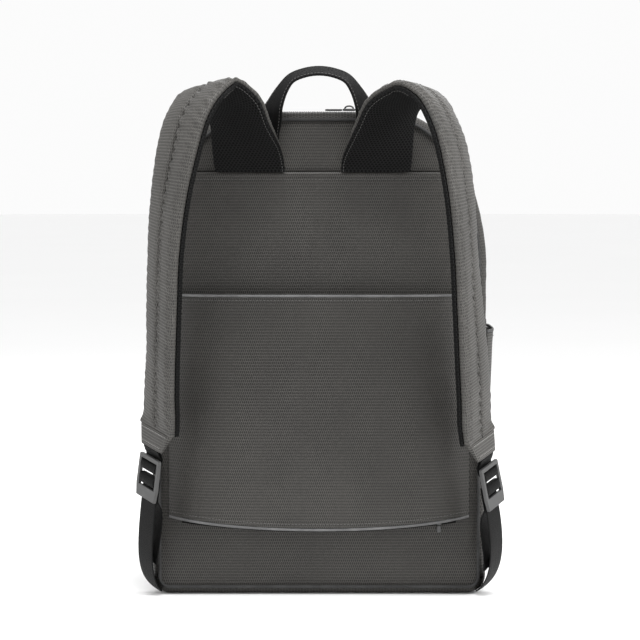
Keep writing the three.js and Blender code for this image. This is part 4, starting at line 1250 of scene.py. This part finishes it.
def make_main_zip(tape, teeth, thread_finish):
    places = outline_over(ZIP_END, (30, 60, 40))
    grid = []
    for place in places:
        row = []
        for across in spread(-1, 1, 13):
            lip = 0.35 * MM * math.exp(-((abs(across) - 0.4) / 0.08) ** 2)
            p = place(ZIP_SUNK - lip)
            p.y = ZIP_MIDDLE + across * ZIP_TAPE / 2
            row.append(p)
        grid.append(row)
    run = lengths([place(0) for place in places])
    uv = [[(across * ZIP_TAPE / 2, along) for across in spread(-1, 1, 13)] for along in run]
    piece = sheet("main_zip_tape", grid, uv, UP, ZIP_TAPE_WALL)
    keep(piece, tape, ["main_zip"])
    normals = [(place(0) - place(10 * MM)).normalized() for place in places]

    def line_at(across, inset):
        return [Vector((place(inset).x, ZIP_MIDDLE + across, place(inset).z)) for place in places]

    coil("main_zip_teeth", line_at(0, 0), normals, TEETH_WIDTH, 2 * MM, TEETH_RISE, teeth)
    for name, sign in (("rear", -1), ("front", 1)):
        line = line_at(sign * (ZIP_TAPE / 2 + 3 * MM), -0.15 * MM)
        stitches(
            f"main_zip_stitches_{name}", line[1:-1], normals[1:-1], thread_finish,
        )


def make_tab(node, ending, origin, along, up, rows, wall, material):
    """A rounded plate. Each row is (distance along it, width, share of the wall)."""
    side = up.cross(along).normalized()
    rings = []
    for distance, width, thick in rows:
        rings.append([
            origin + along * distance + side * a + up * (b + wall / 2)
            for a, b in rounded(width, wall * thick, 20, 0.4)
        ])
    uv = [[(k * MM, row[0]) for k in range(20)] for row in rows]
    return keep(loft(f"{node}_{ending}", rings, uv), material, [node])


def make_bridge(name, origin, along, up, length, width, rise, material):
    """The loop on a slider that holds its pull."""
    side = up.cross(along).normalized()
    rings = []
    for turn in spread(0, math.pi, 16):
        middle = origin + along * (-math.cos(turn) * length / 2) + up * (math.sin(turn) * rise)
        away = (along * (-math.cos(turn)) + up * math.sin(turn)).normalized()
        rings.append([
            middle + side * (math.cos(t) * width / 2) + away * (math.sin(t) * 0.35 * width)
            for t in circle(CORD_SIDES)
        ])
    uv = [[(k * MM, i * MM) for k in range(CORD_SIDES)] for i in range(len(rings))]
    return keep(loft(name, rings, uv), material)


def rounded_rows(length, start_width, end_width, count=22):
    """Rows of a plate whose two ends are rounded."""
    rows = []
    for share in spread(0, 1, count):
        width = mix(start_width, end_width, share)
        head = math.sqrt(clamp(1 - (1 - min(1, share * length / (0.28 * start_width))) ** 2, 0.06))
        tail = math.sqrt(clamp(1 - (1 - min(1, (1 - share) * length / (0.5 * end_width))) ** 2, 0.06))
        rows.append((share * length, width * min(head, tail), 0.55 + 0.45 * min(head, tail)))
    return rows


def slider_rows(length, width, count, waist):
    """Rows of a slider's body: waist gives its width's share at a share of its length."""
    rows = []
    for share in spread(0, 1, count):
        ends = math.sqrt(clamp(1 - (2 * share - 1) ** 6, 0.1))
        rows.append((share * length, width * waist(share) * (0.75 + 0.25 * ends), 0.6 + 0.4 * ends))
    return rows


def make_main_slider(metal, pull_finish):
    low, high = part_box("main_zip_slider")
    along = Vector((-1, 0, 0))
    start = Vector((high.x, ZIP_MIDDLE, low.z))
    length = high.x - low.x
    rows = slider_rows(length, high.y - low.y, 24, lambda share: 1 - 0.28 * smooth(share, 0.35, 0.9))
    make_tab("main_zip_slider", "body", start, along, UP, rows, 2.2 * MM, metal)
    seat = start + along * (length * 0.5) + UP * 2 * MM
    make_bridge("main_zip_slider_loop", seat, along, UP, 8 * MM, 2.4 * MM, 2.6 * MM, metal)
    low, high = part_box("main_zip_pull")
    start = Vector((high.x, ZIP_MIDDLE, low.z))
    rows = rounded_rows(high.x - low.x, 0.8 * (high.y - low.y), high.y - low.y)
    wall = high.z - low.z
    make_tab("main_zip_pull", "tab", start, along, UP, rows, wall, pull_finish)


SLEEVE_TAPE = 8 * MM
SLEEVE_TAPE_ABOVE = 2 * MM


def make_sleeve_zip(tape, teeth, metal):
    reach = SLEEVE_REACH - WEBBING_WIDTH / 2
    grid = []
    middle = []
    for x in spread(-reach, reach, 120):
        row = []
        for share in spread(0, 1, 7):
            z = sleeve_hem(x) + SLEEVE_TAPE_ABOVE - SLEEVE_TAPE * share
            row.append(Vector((x, back_y(x, z) - TOUCH - ZIP_TAPE_WALL, z)))
        grid.append(row)
        middle.append(row[3].copy())
    uv = [[(k * SLEEVE_TAPE / 6, row[0].x) for k in range(7)] for row in grid]
    piece = sheet("sleeve_zip_tape", grid, uv, WEARER, ZIP_TAPE_WALL)
    keep(piece, tape, ["sleeve_zip"])
    low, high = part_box("sleeve_zip_slider")

    def under_slider(p):
        return low.x - 0.5 * MM < p.x < high.x + 0.5 * MM

    coil(
        "sleeve_zip_teeth", middle, [WEARER] * len(middle), 2.8 * MM, 1.5 * MM, 0.7 * MM,
        teeth, under_slider,
    )
    down = -UP
    width = high.x - low.x
    start = Vector(((low.x + high.x) / 2, high.y, high.z))
    length = high.z - low.z
    rows = slider_rows(length, width, 18, lambda share: mix(1, 0.66, share))
    make_tab("sleeve_zip_slider", "body", start, down, WEARER, rows, 2 * MM, metal)
    seat = start + down * (length * 0.5) + WEARER * 1.8 * MM
    make_bridge("sleeve_zip_slider_loop", seat, down, WEARER, 4.6 * MM, 1.6 * MM, 1.2 * MM, metal)
    low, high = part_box("sleeve_zip_pull")
    start = Vector(((low.x + high.x) / 2, high.y, high.z))
    rows = rounded_rows(high.z - low.z, 0.75 * (high.x - low.x), high.x - low.x, 18)
    wall = high.y - low.y
    make_tab("sleeve_zip_pull", "tab", start, down, WEARER, rows, wall, metal)


# Side pocket
pocket_low, pocket_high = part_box("side_pocket")
POCKET_FLARE = 8 * MM
POCKET_WALL = 1.4 * MM
POCKET_BINDING = 3 * MM


def pocket_point(share, z, proud):
    """A point of the pocket's wall: share runs from -1 at its rear edge to 1 at its front."""
    lift = min(1.0, (z - pocket_low.z) / (pocket_high.z - pocket_low.z)) ** 1.5
    bow = 1 - abs(share) ** 4
    x = HALF_WIDTH + TOUCH + POCKET_FLARE * bow * lift + proud
    return Vector((x, mix(pocket_low.y, pocket_high.y, (share + 1) / 2), z))


def make_pocket(fabric, binding, thread_finish):
    out = Vector((1, 0, 0))
    grid = []
    for z in spread(pocket_low.z, pocket_high.z, 90):
        row = []
        rise = (z - pocket_low.z) / (pocket_high.z - pocket_low.z)
        for share in eased(60):
            edge = 1 - abs(share) ** 6
            p = pocket_point(share, z, POCKET_WALL)
            gather = 0.7 * MM * smooth(rise, 0.8, 1.0) * ripple(p.y, 0, z * 0.15, 6 * MM, 6.6)
            sag = 1.3 * MM * math.sin(math.pi * rise) * ripple(0, p.y, z, 52 * MM, 1.9)
            row.append(p + out * ((gather + sag) * edge))
        grid.append(row)
    uv = [[(p.y, p.z) for p in row] for row in grid]
    piece = sheet("side_pocket_cloth", grid, uv, out, POCKET_WALL)
    keep(piece, fabric, ["side_pocket"])
    flat_size(grid)
    top = pocket_high.z + TOUCH
    rings = []
    line = []
    for share in spread(-1, 1, 100):
        middle = pocket_point(share, top + POCKET_BINDING / 2, (POCKET_WALL + 0.5 * MM) / 2)
        girth = 1 + 0.05 * ripple(share * 60 * MM, 0, 0, 4 * MM, 8.2)
        rings.append([
            middle + Vector((a * girth, 0, b * girth))
            for a, b in rounded(POCKET_WALL + 0.5 * MM, POCKET_BINDING, 14, 0.6)
        ])
        line.append(pocket_point(share, pocket_high.z - 4 * MM, POCKET_WALL + 0.25 * MM))
    uv = [[(k * 0.7 * MM, ring[0].y) for k in range(14)] for ring in rings]
    keep(loft("side_pocket_binding_cloth", rings, uv), binding, ["side_pocket_binding"])
    stitches("side_pocket_stitches", line, [out] * len(line), thread_finish)


# Stage
def make_stage():
    bpy.ops.mesh.primitive_circle_add(vertices=96, radius=24, fill_type="NGON", location=(0, 0, -0.3 * MM))
    floor = bpy.context.object
    floor.name = "floor"
    shader = Shader("floor_paint")
    tone = shader.noise(0.7, 2.0)
    shader.set(Base_Color=shader.mix(tone, grey(0.93), grey(0.95)), Roughness=0.8)
    floor.data.materials.append(shader.material)


def make_light(name, place, target, size, power):
    data = bpy.data.lights.new(name, "AREA")
    data.shape = "RECTANGLE"
    data.size, data.size_y = size
    data.energy = power
    light = bpy.data.objects.new(name, data)
    bpy.context.collection.objects.link(light)
    light.location = place
    aim = Vector(target) - Vector(place)
    light.rotation_euler = aim.to_track_quat("-Z", "Y").to_euler()


def make_lights():
    chest = (0, BACK, 0.26)
    make_light("overhead", (0.1, -0.7, 1.7), (0, 0, 0.35), (1.2, 0.9), 30)
    make_light("right", (1.7, -0.7, 0.9), chest, (0.7, 1.4), 22)
    make_light("left", (-1.8, -0.8, 0.8), chest, (0.7, 1.4), 8)
    make_light("behind", (0.3, 1.9, 1.3), (0, 0.05, 0.25), (1.6, 1.2), 10)
    world = bpy.data.worlds.new("studio")
    bpy.context.scene.world = world
    world.use_nodes = True
    background = world.node_tree.nodes["Background"]
    background.inputs["Color"].default_value = (1.0, 1.0, 1.0, 1.0)
    background.inputs["Strength"].default_value = 0.97
    bpy.context.scene.view_settings.view_transform = "Standard"


def main():
    make_camera()
    # The second colour of each nylon is painted shade for the dimples in its weave.
    shell = nylon("shell_nylon", grey(0.043, 0.06), grey(0.004, 0.06))
    strap_shell = nylon("strap_nylon", grey(0.066, 0.05), grey(0.009, 0.05))
    mesh_lining = air_mesh("spacer_mesh")
    black_tape = webbing("black_webbing", 0.003)
    zip_tape = webbing("zip_tape", 0.003, pitch=0.9 * MM)
    piping_tape = webbing("piping_tape", 0.05, rough=0.55, pitch=0.8 * MM)
    rope_tape = webbing("rope_tape", 0.15, rough=0.55, pitch=0.8 * MM)
    hem_tape = webbing("hem_tape", 0.07, rough=0.5, pitch=0.8 * MM)
    grey_thread = thread("grey_thread", 0.09)
    dark_thread = thread("dark_thread", 0.006)
    pale_thread = thread("pale_thread", 0.3)
    moulded = hard("moulded_plastic", 0.04, 0.42)
    metal = hard("dark_metal", 0.07, 0.36, metallic=0.7)
    nylon_teeth = hard("zip_coil", 0.012, 0.4)

    make_back(shell, grey_thread)
    make_front(shell)
    make_gusset(shell)
    make_piping("back_piping", lambda z: BACK, -1, piping_tape)
    make_piping("front_piping", lambda z: BACK + depth_at(z), 1, piping_tape)
    make_sleeve(shell, rope_tape, grey_thread)
    make_sleeve_zip(zip_tape, nylon_teeth, metal)
    make_main_zip(zip_tape, nylon_teeth, dark_thread)
    make_main_slider(metal, nylon_teeth)
    make_pocket(shell, hem_tape, grey_thread)
    make_handle(black_tape, grey_thread)
    for side in ("left", "right"):
        stations = strap_stations(STRAPS[side])
        make_pad(side, stations, strap_shell, dark_thread)
        make_mesh(side, stations, mesh_lining, grey_thread)
        end = patch_end(stations)
        make_patch(side, end, strap_shell, pale_thread)
        make_buckle_webbing(side, end, black_tape)
        make_anchor_webbing(side, end, black_tape, pale_thread)
        refined(f"ladder_buckle_{side}", 0.45 * MM, 3, moulded)
    make_stage()
    make_lights()


main()
